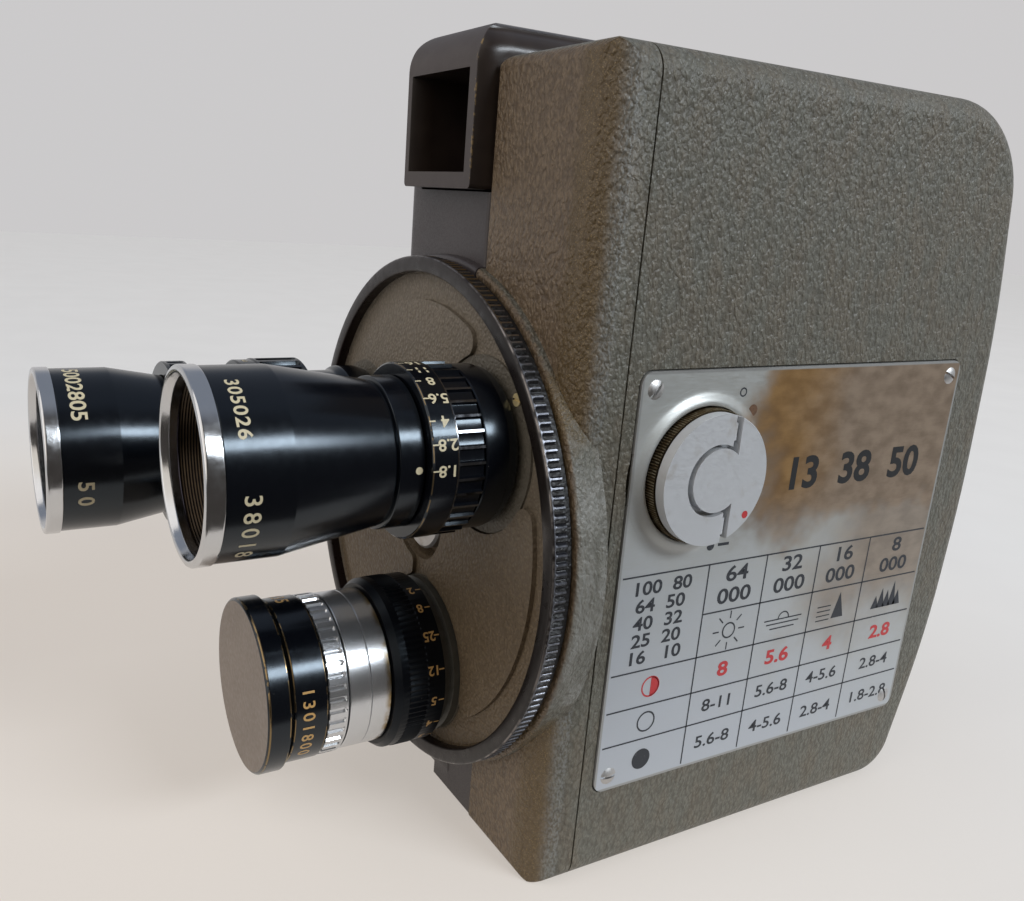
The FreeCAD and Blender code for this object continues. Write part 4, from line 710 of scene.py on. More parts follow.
def ink(name, colour, rough=0.45, wear=0.62):
    # Paint filled into an engraving, rubbed thin here and there.
    look = Look(name, rough=rough)
    thin = look.spread(wear, wear + 0.22, 0.8, 3.0)
    look.set(colour=look.blend(thin, colour, tuple(0.5 * c + 0.12 for c in colour)))
    return look.mat


black_ink = ink("etched_black", (0.026, 0.029, 0.036), 0.6)
deep_ink = ink("etched_deep", (0.006, 0.007, 0.009), 0.55, 0.74)
red_ink = ink("etched_red", (0.48, 0.03, 0.035))


def on_plate(u, v):
    return PLATE_X + 0.02, u, v


cells = [PLATE_Y[0], *RULES_Y, PLATE_Y[1]]
middles = [(a + b) / 2 for a, b in zip(cells, cells[1:])]
MARGIN, RULE = 0.8, 0.28
top, under_titles, *others = RULES_Z
inked = [bar(PLATE_Y[0] + MARGIN, z, PLATE_Y[1] - MARGIN, z, RULE) for z in (top, *others)]
inked.append(bar(RULES_Y[0], under_titles, PLATE_Y[1] - MARGIN, under_titles, RULE))
inked += [bar(y, PLATE_Z[0] + MARGIN, y, top, RULE) for y in RULES_Y]
# Film speeds down the first column, and light levels over the pictures.
for row, text in enumerate(("100  80", "64  50", "40  32", "25  20", "16   10")):
    inked.append(glyphs(text, 3.2, middles[0] - 0.2, 52.0 - 3.0 * row, 1.25, 0.022))
for y, thousands in zip(middles[1:], ("64", "32", "16", "8")):
    for z, text in ((51.9, thousands), (48.0, "000")):
        inked.append(glyphs(text, 3.8, y, z, 1.35, 0.02))
# A sun, a veiled sun, a lone tree in the shade and a dark wood.
y, z = middles[1], 41.6
inked.append(disc(y, z, 1.5, 1.2))
for i in range(8):
    ray = Vector((math.cos(math.pi * i / 4), math.sin(math.pi * i / 4)))
    inner, outer = ray * 2.2, ray * 3.6
    inked.append(bar(y + inner.x, z + inner.y, y + outer.x, z + outer.y, 0.26))
y = middles[2]
inked.append(disc(y, z, 1.4, 1.15, (0.0, 0.5)))
for drop, reach in ((0.0, 4.6), (0.8, 4.0), (1.7, 3.0)):
    inked.append(bar(y - reach, z - drop, y + reach, z - drop, 0.24))
y = middles[3]
inked.append(polygon((y - 0.4, z - 2.2), (y + 2.8, z - 2.2), (y + 1.2, z + 2.8)))
for k in range(4):
    inked.append(bar(y - 4.4, z - 2.2 + 0.9 * k, y - 0.9, z - 2.2 + 0.9 * k, 0.22))
y = middles[4]
for k, tall in ((-3.0, 2.6), (-1.4, 4.0), (0.2, 3.4), (1.8, 5.0), (3.2, 3.0)):
    inked.append(polygon((y + k - 1.1, z - 2.2), (y + k + 1.1, z - 2.2), (y + k, z - 2.2 + tall)))
# Apertures for an average, a light and a dark subject.
reds = [glyphs(text, 3.7, y, 34.3, 1.3, 0.03) for text, y in zip(("8", "5.6", "4", "2.8"), middles[1:])]
for z, row in ((27.9, ("8-11", "5.6-8", "4-5.6", "2.8-4")), (20.9, ("5.6-8", "4-5.6", "2.8-4", "1.8-2.8"))):
    inked += [glyphs(text, 3.2, y, z, 1.25, 0.015) for text, y in zip(row, middles[1:])]
reds += [disc(middles[0], 34.4, 1.9, 1.6), disc(middles[0], 34.4, 1.75, 0.0, (-0.25, 0.25))]
inked += [disc(middles[0], 28.0, 1.9, 1.6), disc(middles[0], 21.0, 1.9, 0.0)]
# Open and locked marks by the knob.
inked += [disc(-10.0, 82.6, 0.75, 0.5), disc(-12.2, 57.6, 0.8, 0.0), bar(-10.6, 57.6, -8.2, 57.6, 0.5)]
# Large numbers give the focal lengths of the three lenses.
LENS_NAMES = (("13", 6.4), ("38", 19.4), ("50", 32.4))
name_shapes = [glyphs(text, 7.6, y, 68.0, 1.08, 0.03) for text, y in LENS_NAMES]
marks("lens_numbers", name_shapes, on_plate, deep_ink, "door")
marks("table_black", inked, on_plate, black_ink, "door")
marks("table_red", reds, on_plate, red_ink, "door")
# A flat dark brown disc stands for the hole: painted shade of its inside.
hole_shade = Look("index_hole", rough=0.6, colour=(0.10, 0.05, 0.025))
hole_shade.set(colour=hole_shade.blend(hole_shade.noise(0.6), (0.06, 0.03, 0.015), (0.20, 0.10, 0.05)))
marks("index_hole", [disc(-7.4, 79.6, 0.95)], on_plate, hole_shade.mat, "door")


# Door knob: a thick aluminium disc with a finely knurled side, set in a soft raised collar pressed from
# the same metal as the plate, and turned a quarter to unlock the door.
# Half of its rim hinges up as a bail to pull on, and a red dot shows where it points.
KNOB_Y, KNOB_Z = -17.2, 70.1
KNOB_TOP, KNURL_BASE, KNURL_TOP = 45.5, 40.7, 43.5
knob_metal = machined("knob_aluminium", (0.55, 0.56, 0.575), 0.34, (1, 0.3, 1), 0.2, metal=0.45)
dress("knob_bail door_knob", knob_metal)
collar = turned("knob_collar", (KNOB_Y, KNOB_Z), [
    (13.7, 41.0), (13.7, 41.315), (13.2, 41.32), (12.85, 41.36), (12.55, 41.46), (12.2, 41.66),
    (11.85, 41.88), (11.5, 42.05), (11.15, 42.12), (10.85, 42.0), (10.85, 40.6), (9.5, 40.6), (9.5, 40.3),
    (12.0, 40.3)], 144, along="X", ease=0.0)
for corner in collar.vertices:
    corner.co.y = max(corner.co.y, PLATE_Y[0] * MM)
mesh_piece("knob_collar", collar, plate.mat, "door", "knob_dish")
dress("latch_bar", steel)
KNOB_RIDGES = 150
grimy = Look("knob_knurl", rough=0.42, metal=1.0)
outward_part = grimy.rise(grimy.distance((0, KNOB_Y, KNOB_Z), (0, 1, 1)), 10.45, 10.65)
gold_or_grey = grimy.blend(grimy.spread(0.38, 0.62, 0.8, 4.0), (0.22, 0.15, 0.075), (0.46, 0.40, 0.28))
grimy.set(
    colour=grimy.blend(outward_part, (0.075, 0.055, 0.032), gold_or_grey),
    rough=grimy.spread(-0.8, 1.9, 0.4),
)


def sector(name, outline, count, dent, shares, along):
    # One of the count sectors of a ring: the outline swept over the shares of the pitch and dented.
    n, verts, faces = len(outline), [], []
    for share in shares:
        for r, axial in outline:
            r2 = r - dent(share, r, axial)
            angle = 2 * math.pi * share / count
            a, b = r2 * math.cos(angle), r2 * math.sin(angle)
            verts.append(tuple(c * MM for c in ((a, axial, b) if along == "Y" else (axial, a, b))))
    for i in range(len(shares) - 1):
        for k in range(n):
            m = (k + 1) % n
            faces.append((i * n + k, i * n + m, (i + 1) * n + m, (i + 1) * n + k))
    mesh = bpy.data.meshes.new(name)
    mesh.from_pydata(verts, [], faces)
    return mesh


def ring_of(name, centre, outline, count, dent, shares, finish, body, stands_for="", along="Y", angle=30):
    # A whole ring of such sectors, in its place on the body.
    pattern = sector(name, outline, count, dent, shares, along)
    axis = (0, 1, 0) if along == "Y" else (1, 0, 0)
    where = Vector((centre[0], 0, centre[1])) if along == "Y" else Vector((0, centre[0], centre[1]))
    mesh = repeated(name, pattern, [where * MM] * count, finish, 2 * math.pi / count, axis)
    shape = bmesh.new()
    shape.from_mesh(mesh)
    bmesh.ops.remove_doubles(shape, verts=shape.verts, dist=2e-6)
    shape.to_mesh(mesh)
    shape.free()
    mesh_piece(name, sharpen(mesh, angle), finish, body, stands_for)
    return mesh


def ridge_depth(share, r, along_axis):
    return 0.4 * abs(share) if r > 10.0 else 0.0


ring_of(
    "knob_knurl", (KNOB_Y, KNOB_Z),
    [(9.8, KNURL_BASE), (10.6, KNURL_BASE), (10.6, KNURL_TOP), (9.8, KNURL_TOP)],
    KNOB_RIDGES, ridge_depth, (-0.5, -0.25, 0.0, 0.25, 0.5), grimy.mat, "knob", along="X")
index_dot = disc(KNOB_Y + 6.9, KNOB_Z - 6.0, 0.62)
marks("knob_index", [index_dot], lambda u, v: (KNOB_TOP + 0.02, u, v), red_ink, "knob")


# Turret: a die-cast disc painted like the body inside its rim, with a plain dark lip and a plated knurled
# edge to turn it by.
# It carries three lens seats with low pads between them, and pivots on a bright steel hub.
TURRET_Z, LIP_R, SEATS_R = 53.7, 42.4, 26.5
dish = Look("turret_paint", rough=0.5)
wrinkles = dish.cells(0.62, wander=0.8)
dish.bump(dish.both(wrinkles, -0.8), 0.26, 0.8)
# The crests are painted lighter and the hollows darker, as painted light and shade; both are darker and
# browner towards the bottom.
lower = dish.along("Z", 80.0, 45.0)
dish_shaded_hollows = dish.blend(lower, (0.140, 0.116, 0.086), (0.098, 0.068, 0.038))
dish_lit_crests = dish.blend(lower, (0.190, 0.160, 0.122), (0.136, 0.096, 0.054))
dish_paint = dish.blend(dish.rise(wrinkles, 0.6, 0.2), dish_shaded_hollows, dish_lit_crests)
dish_paint = dish.blend(dish.both(dish.noise(6.0, 3.0), 0.3), dish_paint, (0.17, 0.13, 0.085))
seats = [math.radians(a) for a in (41.0, 161.0, 281.0)]
flats = 0.0
for a in seats:
    from_seat = dish.from_axis(SEATS_R * math.cos(a), TURRET_Z + SEATS_R * math.sin(a))
    flats = dish.sum(flats, dish.rise(from_seat, 14.35, 14.15), "MAXIMUM")
seat_paint = dish.blend(dish.noise(1.5, 3.0), (0.095, 0.082, 0.062), (0.125, 0.110, 0.085))
on_rim = dish.rise(dish.from_axis(0, TURRET_Z), 42.6, 42.9)
dish.set(
    colour=dish.blend(on_rim, dish.blend(flats, dish_paint, seat_paint), (0.008, 0.007, 0.007)),
    rough=dish.spread(-0.9, 1.7, 0.8),
)
dress("turret_disc", dish.mat)
dress("turret_hub detent_ball detent_spring", steel)
brass = machined("worn_brass", (0.80, 0.66, 0.36), 0.28, metal=0.5)
dress("seat_screws", brass)

KNURL_TEETH, KNURL_R = 208, 45.05


def refinish(mesh, centre, finish, chosen):
    # Gives a second finish to the faces that are chosen by their distance from the axis and their y.
    mesh.materials.append(finish)
    for face in mesh.polygons:
        x, y, z = face.center / MM
        if chosen(math.hypot(x - centre[0], z - centre[1]), y):
            face.material_index = 1


def tooth_groove(share, r, y):
    # Depth of a hollow that ends round behind the lip and runs out at the back, at this share of the pitch.
    if r < KNURL_R - 0.25:
        return 0.0
    half_wide, front_end, corner = 0.56, -44.82, 0.42
    u = max(abs(share) * 2 * math.pi * KNURL_R / KNURL_TEETH - half_wide + corner, 0.0)
    v = max(front_end + corner - y, 0.0)
    return 0.48 * min(max((corner - math.hypot(u, v)) / 0.34, 0.0), 1.0)


knurling = Look("knurled_rim", rough=0.3, metal=1.0)
from_axis = knurling.from_axis(0, TURRET_Z)
ridge = knurling.both(
    knurling.rise(from_axis, KNURL_R - 0.16, KNURL_R - 0.03), knurling.along("Y", -44.98, -44.84))
worn = knurling.spread(0.35, 0.60, 4.0, 3.0)
top_left = knurling.both(knurling.along("Z", 82.0, 96.0), worn)
plating = knurling.blend(knurling.noise(0.7, 2.0), (0.07, 0.073, 0.085), (0.36, 0.37, 0.41))
plating = knurling.blend(top_left, plating, (0.30, 0.21, 0.11))
soiled = knurling.blend(top_left, (0.008, 0.008, 0.012), (0.030, 0.021, 0.012))
knurling.set(
    colour=knurling.blend(ridge, soiled, plating),
    metal=knurling.rise(ridge, 0.1, 0.6),
    rough=knurling.spread(-0.9, 2.2, 0.6, 3.0),
)
lip = Look("lip_enamel", rough=0.36)
lip.shader.inputs["Specular IOR Level"].default_value = 0.32
lip_grey = lip.blend(lip.noise(4.0, 3.0), (0.017, 0.0125, 0.012), (0.024, 0.018, 0.0175))
lip_grey = lip.blend(lip.along("X", 5.0, 32.0), lip_grey, (0.012, 0.009, 0.008))
inner_wall = lip.rise(lip.from_axis(0, TURRET_Z), LIP_R + 0.15, LIP_R + 0.02)
worn_edge = lip.both(
    lip.rise(lip.from_axis(0, TURRET_Z), KNURL_R - 0.24, KNURL_R - 0.12),
    lip.spread(0.38, 0.58, 2.5, 3.0))
lip.set(
    colour=lip.blend(worn_edge, lip.blend(inner_wall, lip_grey, (0.014, 0.0075, 0.007)), (0.22, 0.20, 0.19)),
    metal=worn_edge,
    rough=lip.spread(-0.7, 2.4, 1.5, 3.0),
)
knurl_outline = [
    (42.9, -42.9), (42.36, -42.9), (42.36, -44.95), (42.45, -45.22), (42.70, -45.36), (44.50, -45.36),
    (44.82, -45.28), (KNURL_R - 0.03, -45.08)]
knurl_outline += [
    (KNURL_R, y) for y in (-44.98, -44.80, -44.70, -44.60, -44.50, -44.38, -44.20, -43.40, -42.78)]
knurl_outline.append((43.9, -42.78))
knurl = ring_of(
    "turret_knurl", (0, TURRET_Z), knurl_outline, KNURL_TEETH, tooth_groove,
    (-0.5, -0.41, -0.37, -0.31, -0.22, -0.10, 0.10, 0.22, 0.31, 0.37, 0.41, 0.5), knurling.mat, "turret",
    angle=50)
refinish(knurl, (0, TURRET_Z), lip.mat, lambda r, y: y < -44.99 or r < 44.0)


# Short telephoto lens, above the gate: a black lacquered brass barrel that tapers to its aperture ring,
# with a satin chrome rim.
# Its numbers are engraved and filled with cream paint, and the ring's edges are worn to brass.
SHORT = (20.0, 71.086)


def lacquer(name, rough=0.20, specks=0.80, shine=0.5):
    # Gloss black lacquer, with a little dust and a faint orange-peel ripple.
    look = Look(name, rough=rough)
    look.shader.inputs["Specular IOR Level"].default_value = shine
    look.shader.inputs["Specular Tint"].default_value = (0.78, 0.90, 1.0, 1)
    dust = look.noise(0.3, 2.0)
    look.bump(look.noise(1.3), 0.004, 0.5)
    specked = look.rise(dust, specks, specks + 0.04)
    look.set(
        colour=look.blend(specked, (0.0025, 0.0030, 0.0048), (0.22, 0.20, 0.18)),
        rough=look.sum(look.both(look.noise(1.2, 3.0), 0.5 * rough), 0.75 * rough),
    )
    return look


gloss = lacquer("gloss_black_lacquer").mat


def worn_black(name, centre, radius, bands, amount):
    # Black lacquer that is rubbed through to brass on edges: bands are distances along the axis.
    look = lacquer(name)
    patch = look.spread(0.54 - 0.12 * amount, 0.60 - 0.12 * amount, 2.2, 5.0)
    y = look.axis("Y")
    near = 0.0
    for at, half in bands:
        gap = look.add("ShaderNodeMath", {0: look.sum(y, -at)}, operation="ABSOLUTE").outputs[0]
        near = look.sum(near, look.rise(gap, half, half * 0.6), "MAXIMUM")
    outside = look.rise(look.from_axis(centre[0], centre[1]), radius - 0.25, radius - 0.12)
    bare = look.both(near, patch, outside)
    colour = look.shader.inputs["Base Color"].links[0].from_socket
    return look.set(colour=look.blend(bare, colour, (0.26, 0.185, 0.095)), metal=bare)


chrome = Look("satin_chrome", rough=0.2, metal=1.0)
spin = chrome.noise(0.12, 3.0)
chrome.bump(spin, 0.004, 0.4)
chrome.set(
    colour=chrome.blend(spin, (0.54, 0.55, 0.56), (0.66, 0.66, 0.67)),
    rough=chrome.spread(-0.6, 3.4, 1.6, 3.0),
)
bore_black = Look("bore_brown_black", rough=0.3, metal=0.8)
bore_black.set(
    colour=bore_black.blend(bore_black.noise(1.2, 3.0), (0.020, 0.014, 0.010), (0.060, 0.040, 0.020)))


def threads(r, y0, y1, pitch, depth):
    # The zigzag outline of a screw thread cut in a bore, from y0 to y1.
    points = []
    count = int(abs(y1 - y0) / pitch)
    for i in range(count):
        y = y0 + (y1 - y0) * i / count
        points += [(r, y), (r + depth, y + (y1 - y0) / count / 2)]
    return points


def lathed(name, centre, outline, finish, stands_for="", body="turret", **how):
    # A turned piece in its place.
    mesh = turned(name, centre, outline, **how)
    mesh_piece(name, mesh, finish, body, stands_for)
    return mesh


def rim_ring(name, centre, front, back, bore, outer):
    outline = [
        (outer - 0.75, front), (outer - 0.2, front + 0.1), (outer, front + 0.35), (outer, back), (bore, back),
        (bore, front + 1.2), (outer - 1.1, front + 0.12)]
    lathed(name, centre, outline, chrome.mat, name.replace("_ring", ""), steps=160)


rim_ring("short_tele_rim_ring", SHORT, -90.7, -88.1, 12.2, 13.8)
barrel = [
    (13.6, -88.05), (13.6, -87.6), (13.6, -78.8), (11.0, -63.5), (10.75, -63.3), (11.5, -63.1), (11.5, -59.3),
    (9.6, -59.3), (9.6, -50.2), (8.0, -50.2), (8.0, -72.8), (12.4, -76.8), (12.4, -80.4)]
barrel += threads(12.4, -80.6, -88.0, 0.42, 0.18) + [(12.4, -88.05)]
lathed("short_tele_tube", SHORT, barrel, gloss, "short_tele_barrel", steps=160, degrees=8)
inner = [(12.35, -80.6)] + threads(12.33, -80.8, -89.4, 0.42, 0.18) + [(12.38, -89.5)]
inner_shape = inner + [(r + 0.06, y) for r, y in reversed(inner)]
lathed("short_tele_thread", SHORT, inner_shape, bore_black.mat, steps=120, ease=0.0)
base = [
    (10.5, -43.4), (11.8, -44.0), (12.5, -44.7), (12.9, -46.2), (12.9, -50.2), (9.6, -50.2), (6.45, -50.2),
    (6.45, -39.4), (7.85, -39.4), (7.85, -43.4)]
lathed("short_tele_base", SHORT, base, gloss, "short_tele_mount", steps=160, ease=0.35)


def flute(count, r_outer, y0, y1, land, depth, corner=0.8, soft=0.3):
    # A row of grooves with rounded corners: land is the share of the pitch left standing between them.
    pitch = 2 * math.pi * r_outer / count
    half_wide, half_long, middle = pitch * (1 - land) / 2, abs(y1 - y0) / 2, (y0 + y1) / 2
    corner = min(half_wide, corner)

    def dent(share, r, y):
        if r < r_outer - 0.4:
            return 0.0
        u = max(abs(share) * pitch - half_wide + corner, 0.0)
        v = max(abs(y - middle) - half_long + corner, 0.0)
        return depth * min(max((corner - math.hypot(u, v)) / soft, 0.0), 1.0)
    return dent


def groove_shares(land, wall=0.13):
    half = (1 - land) / 2
    side = [-half, -half + wall / 2, -half + wall, -half + 1.7 * wall]
    return [-0.5, *side, *(-share for share in reversed(side)), 0.5]


def groove_ys(y0, y1, corner=0.8):
    inner = (0.0, 0.1, 0.22, 0.4, 0.62, 0.85)
    step = 1 if y1 > y0 else -1
    return [y0 + step * s * corner for s in inner] + [y1 - step * s * corner for s in reversed(inner)]


GRIP_R, GRIP_FRONT, GRIP_BACK = 13.35, -54.8, -50.5
ring_black = worn_black("short_ring_lacquer", SHORT, 13.4, ((-59.0, 0.22), (-54.95, 0.10)), 0.9)
outline = [(9.9, GRIP_BACK), (9.9, -59.0), (13.1, -59.0), (13.4, -58.75), (13.4, -55.0), (GRIP_R, -54.95)]
outline += [(GRIP_R, GRIP_FRONT + y) for y in (0.0, 0.08, 0.16, 0.24, 0.5, 2.0, 4.0)] + [(GRIP_R, GRIP_BACK)]
grip = flute(36, GRIP_R, GRIP_FRONT, GRIP_BACK + 1.0, 0.17, 0.5, corner=0.25, soft=0.2)
ring = ring_of(
    "short_tele_aperture", SHORT, outline, 36, grip, groove_shares(0.17, 0.08), ring_black,
    "short_tele_aperture", "short_tele_aperture_ring")
ridge_top = Look("worn_ridge", rough=0.22, metal=1.0)
ridge_grey = ridge_top.blend(ridge_top.noise(0.5, 3.0), (0.13, 0.135, 0.15), (0.30, 0.31, 0.33))
ridge_top.set(colour=ridge_grey, rough=ridge_top.spread(-0.5, 3.2, 0.8))
refinish(ring, SHORT, ridge_top.mat, lambda r, y: y > -54.9 and r > GRIP_R - 0.06)


def round_lens(centre, radius, y, degrees, spin=0.0):
    # Maps (u, v) on to the outside of a barrel: u runs down round it and v to the back, turned by spin.
    turn = math.radians(spin)

    def place(u, v):
        u, v = u * math.cos(turn) - v * math.sin(turn), u * math.sin(turn) + v * math.cos(turn)
        angle = math.radians(degrees) - u / radius
        r = radius + 0.025
        return centre[0] + r * math.cos(angle), y + v, centre[1] + r * math.sin(angle)
    return place


cream = ink("cream_fill", (0.62, 0.54, 0.36), 0.5, 0.66)


def engraved(name, centre, radius, items, finish, body):
    # Numbers and ticks round a lens: each item is a shape with its place along and round the axis.
    verts, faces = [], []
    for shape, y, degrees, spin in items:
        place = round_lens(centre, radius, y, degrees, spin)
        start = len(verts)
        verts += [tuple(c * MM for c in place(p.x, p.y)) for p in shape[0]]
        faces += [tuple(start + i for i in face) for face in shape[1]]
    mesh = bpy.data.meshes.new(name)
    mesh.from_pydata(verts, [], faces)
    shape = bmesh.new()
    shape.from_mesh(mesh)
    bmesh.ops.triangulate(shape, faces=shape.faces)
    shape.to_mesh(mesh)
    shape.free()
    return mesh_piece(name, mesh, finish, body)


def lettering(text, size, y, first, step, wide=1.1, bold=0.02):
    # Single letters round a barrel, a step apart from the first angle on.
    return [(glyphs(c, size, wide=wide, bold=bold), y, first - step * i, 0.0) for i, c in enumerate(text)]


STOPS = (
    ("1.8", 2.0), ("2.8", 18.0), ("4", 32.5), ("5.6", 48.0), ("8", 62.5), ("11", 75.5), ("16", 88.5),
    ("22", 101.5))
scale = [(glyphs(text, 2.35, wide=1.12, bold=0.018), -56.55, angle, -90.0) for text, angle in STOPS]
scale += [(bar(0, -0.6, 0, 0.35, 0.22), -58.4, angle, 0.0) for text, angle in STOPS]
engraved("short_tele_stops", SHORT, 13.4, scale, cream, "short_tele_aperture")
letters = lettering("305026", 2.6, -85.2, 66.5, 7.0, 1.15)
letters += lettering("38018", 3.3, -84.7, -5.0, 10.5, bold=0.01)
engraved("short_tele_numbers", SHORT, 13.6, letters, cream, "turret")
engraved("short_tele_index", SHORT, 11.5, [(disc(0, 0, 0.55), -60.25, 1.0, 0.0)], cream, "turret")


# Long telephoto lens, behind it: the same lacquer and rim on a longer barrel, with a thin aperture ring
# near the front and a deep-fluted focusing ring near the turret.
LONG = (-25.056, 62.328)
rim_ring("long_tele_rim_ring", LONG, -104.6, -102.1, 12.7, 14.3)
barrel = [
    (14.0, -102.05), (14.0, -92.8), (12.3, -83.5), (11.0, -83.5), (11.0, -78.9), (12.6, -78.9),
    (12.6, -70.6), (9.8, -70.6), (9.8, -57.9), (8.2, -57.9), (8.2, -86.8), (12.9, -90.8), (12.9, -94.4)]
barrel += threads(12.9, -94.6, -102.0, 0.42, 0.18) + [(12.9, -102.05)]
lathed("long_tele_tube", LONG, barrel, gloss, "long_tele_barrel", degrees=8)
base = [
    (11.0, -43.4), (12.6, -44.6), (13.2, -46.4), (13.2, -50.0), (12.4, -51.0), (12.4, -57.9), (6.45, -57.9),
    (6.45, -39.4), (7.85, -39.4), (7.85, -43.4)]
lathed("long_tele_base", LONG, base, gloss, "long_tele_mount", ease=0.3)
outline = [(12.4, -79.2), (12.4, -83.2), (14.6, -83.2), (14.8, -83.0)]
outline += [(14.8, y) for y in groove_ys(-82.7, -79.6, 0.6)] + [(14.8, -79.4), (14.6, -79.2)]
ring_of(
    "long_tele_aperture", LONG, outline, 40, flute(40, 14.8, -82.7, -79.6, 0.35, 0.45), groove_shares(0.35),
    gloss,
    "long_tele_aperture", "long_tele_aperture_ring")
outline = [(10.1, -58.2), (10.1, -70.3), (14.5, -70.3), (14.8, -70.0), (14.8, -67.0), (15.0, -66.8)]
outline += [(15.0, y) for y in groove_ys(-66.5, -58.7)] + [(15.0, -58.4), (14.8, -58.2)]
ring_of(
    "long_tele_focus", LONG, outline, 32, flute(32, 15.0, -66.5, -58.7, 0.3, 0.7), groove_shares(0.3), gloss,
    "long_tele_focus", "long_tele_focus_ring")
letters = lettering("5002805", 3.5, -99.0, 85.0, 8.0) + lettering("50", 3.5, -98.7, -11.5, 12.0)
engraved("long_tele_numbers", LONG, 14.0, letters, cream, "turret")
METRES = ("3", "5", "8", "15", "30")
scale = [(glyphs(text, 2.2, bold=0.02), -68.6, 90.0 - 28.0 * i, -90.0) for i, text in enumerate(METRES)]
engraved("long_tele_distances", LONG, 14.8, scale, cream, "long_tele_focus")


# Standard lens, below: a bright aluminium barrel between a black name ring and a black focusing ring,
# with a fluted aperture ring.
# A black push-on cap covers its front, and its flat face is rubbed bare.
STANDARD = (5.056, 27.687)
silver = Look("lens_aluminium", rough=0.2, metal=0.9)
rear = silver.along("Y", -57.6, -56.4)
tarnished = silver.both(rear, silver.spread(0.30, 0.60, 1.6, 3.0))
clean = silver.blend(silver.noise(0.8, 2.0), (0.60, 0.61, 0.63), (0.67, 0.68, 0.69))
silver.set(
    colour=silver.blend(tarnished, clean, (0.30, 0.21, 0.09)),
    rough=silver.sum(silver.both(silver.noise(2.5, 2.0), 0.06), 0.22),
)
flange = Look("flange_satin", rough=0.45, metal=0.4)
flange.set(colour=flange.blend(flange.noise(1.5, 3.0), (0.055, 0.052, 0.043), (0.10, 0.094, 0.080)))
barrel = [
    (9.6, -75.4), (13.0, -75.4), (13.0, -73.6), (11.4, -73.6), (11.4, -63.6), (13.45, -63.6), (13.5, -63.5),
    (13.5, -59.92), (13.3, -59.86), (13.3, -59.80), (13.5, -59.74), (13.5, -56.3), (9.4, -56.3),
    (9.4, -46.7), (8.0, -46.7), (8.0, -66.0), (9.6, -68.0)]
lathed("standard_tube", STANDARD, barrel, silver.mat, "standard_barrel", ease=0.03)
outline = [(11.7, -63.9), (11.7, -67.3), (13.5, -67.3), (13.7, -67.15)]
outline += [(13.7, y) for y in groove_ys(-67.05, -64.35, 0.9)]
outline += [(13.7, -64.2), (13.7, -64.05), (13.5, -63.9)]
ring_of(
    "standard_aperture", STANDARD, outline, 44, flute(44, 13.7, -67.9, -64.3, 0.52, 0.42, 0.4, 0.22),
    groove_shares(0.52, 0.11), silver.mat, "standard_aperture", "standard_aperture_ring")
ring_black = worn_black("name_ring_lacquer", STANDARD, 13.8, ((-73.05, 0.13), (-67.7, 0.10)), 0.8)
outline = [(11.7, -73.3), (13.5, -73.3), (13.8, -73.0), (13.8, -67.6), (11.7, -67.6)]
lathed("standard_front_ring", STANDARD, outline, ring_black, "standard_name_ring")
cap_black = worn_black("cap_lacquer", STANDARD, 14.7, ((-77.55, 0.36), (-74.1, 0.13)), 1.0)
outline = [
    (0.0, -77.7), (14.3, -77.7), (14.7, -77.3), (14.7, -74.0), (13.3, -74.0), (13.3, -75.9), (0.0, -75.9)]
cap = lathed("lens_cap", STANDARD, outline, cap_black, "standard_cap", "cap")
cap_face = Look("cap_face", rough=0.5)
cap_face.bump(cap_face.noise(0.3, 3.0), 0.01, 0.5)
cap_face.set(
    colour=cap_face.blend(cap_face.noise(5.0, 4.0), (0.185, 0.150, 0.124), (0.245, 0.202, 0.168)),
    rough=cap_face.spread(-1.0, 1.8, 0.8, 3.0),
)
refinish(cap, STANDARD, cap_face.mat, lambda r, y: y < -77.69 and r < 14.2)
focus_black = lacquer("focus_black", 0.36, 0.78, 0.2).mat
outline = [
    (9.7, -47.0), (9.7, -56.0), (14.2, -56.0), (15.0, -54.9), (15.0, -53.6), (15.1, -53.4), (15.1, -50.2),
    (15.0, -50.0), (15.0, -47.0)]


def fine_ribs(share, r, y):
    return 0.3 * (1 - abs(share) * 2) if r > 15.05 else 0.0


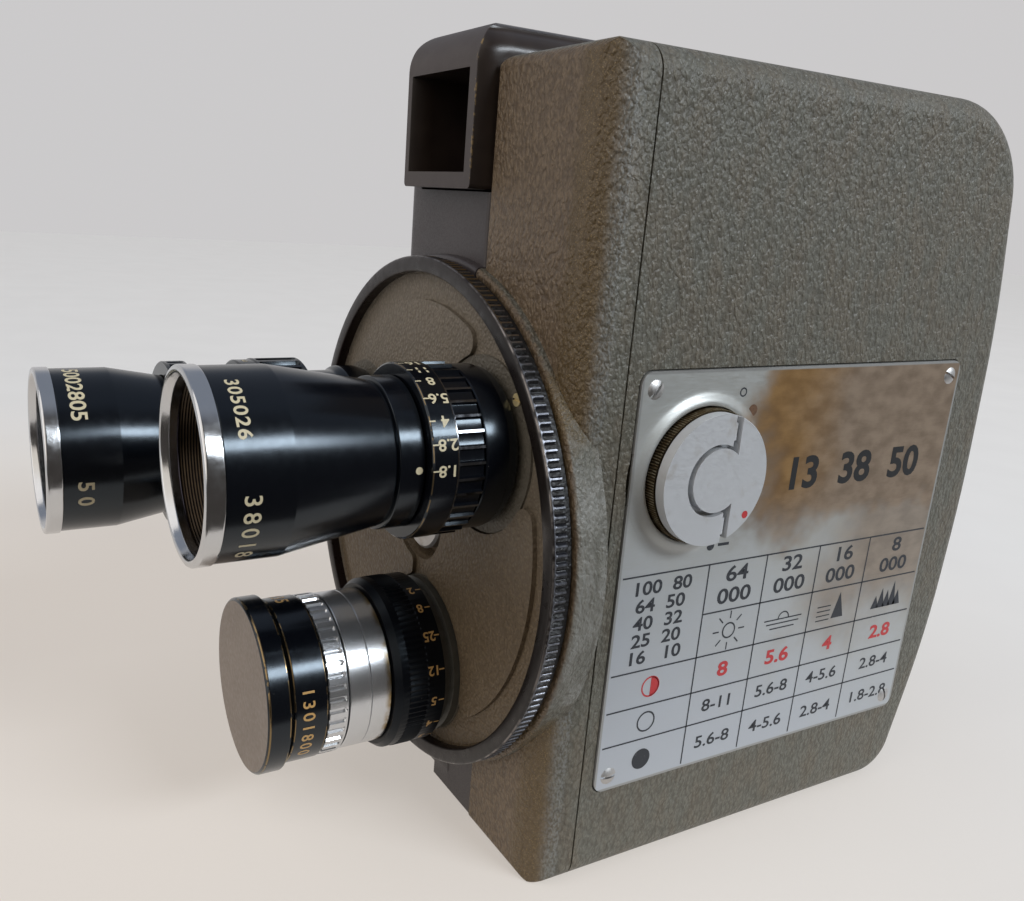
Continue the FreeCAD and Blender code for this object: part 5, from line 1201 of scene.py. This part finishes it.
ring_of(
    "standard_focus", STANDARD, outline, 90, fine_ribs, (-0.5, -0.25, 0.0, 0.25, 0.5), focus_black,
    "standard_focus", "standard_focus_ring", angle=25)
dress("standard_mount", flange.mat)
gold = ink("gold_fill", (0.52, 0.31, 0.11), 0.4, 0.68)
letters = lettering("1301800", 2.8, -70.9, 17.5, 8.5, bold=0.015)
letters += lettering("0035", 3.1, -70.7, 120.0, 8.5, 1.05, 0.015)
engraved("standard_numbers", STANDARD, 13.8, letters, gold, "turret")
FEET = (("2", 74.5), ("8", 58.5), ("25", 38.5), ("12", 16.5), ("5", -4.5), ("4", -24.0), ("3", -42.0))
scale = [(glyphs(text, 2.3, bold=0.02), -49.0, angle, -90.0) for text, angle in FEET]
scale += [(bar(0, -0.5, 0, 0.5, 0.22), -47.6, angle, 0.0) for text, angle in FEET]
engraved("standard_distances", STANDARD, 15.0, scale, gold, "standard_focus")


# Film side: the gate, its guides, the sprocket, both spools and the pressure plate, in ground steel,
# chrome and thin aluminium.
# The camera is shown without film, so that the spools stay bare.
ALONG_X = (0.08, 1, 1)
bright = machined("bright_plate", (0.66, 0.66, 0.66), 0.2, ALONG_X)
dress("aperture_plate pressure_plate", bright)
dress("film_guides film_sprocket claw", steel)
spool_metal = machined("spool_aluminium", (0.58, 0.58, 0.57), 0.3, ALONG_X, 0.5)
dress("feed_spool takeup_spool", spool_metal)
dress("takeup_spindle winding_arbor mechanism_plate shutter ratchet_pawl", steel)


# Spring motor and gear train: brass wheels pressed on steel arbors behind the mechanism plate.
# A ribbon of blued steel, coiled in a brass barrel, drives them.
gear_brass = machined("gear_brass", (0.60, 0.45, 0.20), 0.3, (1, 1, 1), 0.5, (0.20, 0.12, 0.05))
dress("mainspring_barrel intermediate_wheel governor shutter_drive_wheel", gear_brass)
blued = machined("blued_spring", (0.10, 0.12, 0.17), 0.28)
dress("mainspring", blued)


# Left side: a folding winding key, a speed dial and a release slide, turned and milled from aluminium and
# held by their shafts in the mechanism cover, and a film counter under a glass window.
control_metal = machined("control_aluminium", (0.56, 0.56, 0.56), 0.28, (1, 1, 1), 0.3)
dress("winding_key_hub winding_key_wing speed_dial release_button", control_metal)
dial_face = machined("dial_face", (0.52, 0.52, 0.51), 0.4)
dress("counter_dial", dial_face)
pane = Look("window_glass", rough=0.02, colour=(0.9, 0.92, 0.9))
pane.shader.inputs["Transmission Weight"].default_value = 0.95
pane.set(rough=pane.spread(-0.2, 12.0, 4.0))
dress("counter_window", pane.mat)


# Base: a steel bush with the thread for a tripod screw, pressed into the floor of the casting, so that
# only its mouth shows from below.
dress("tripod_bush", steel)
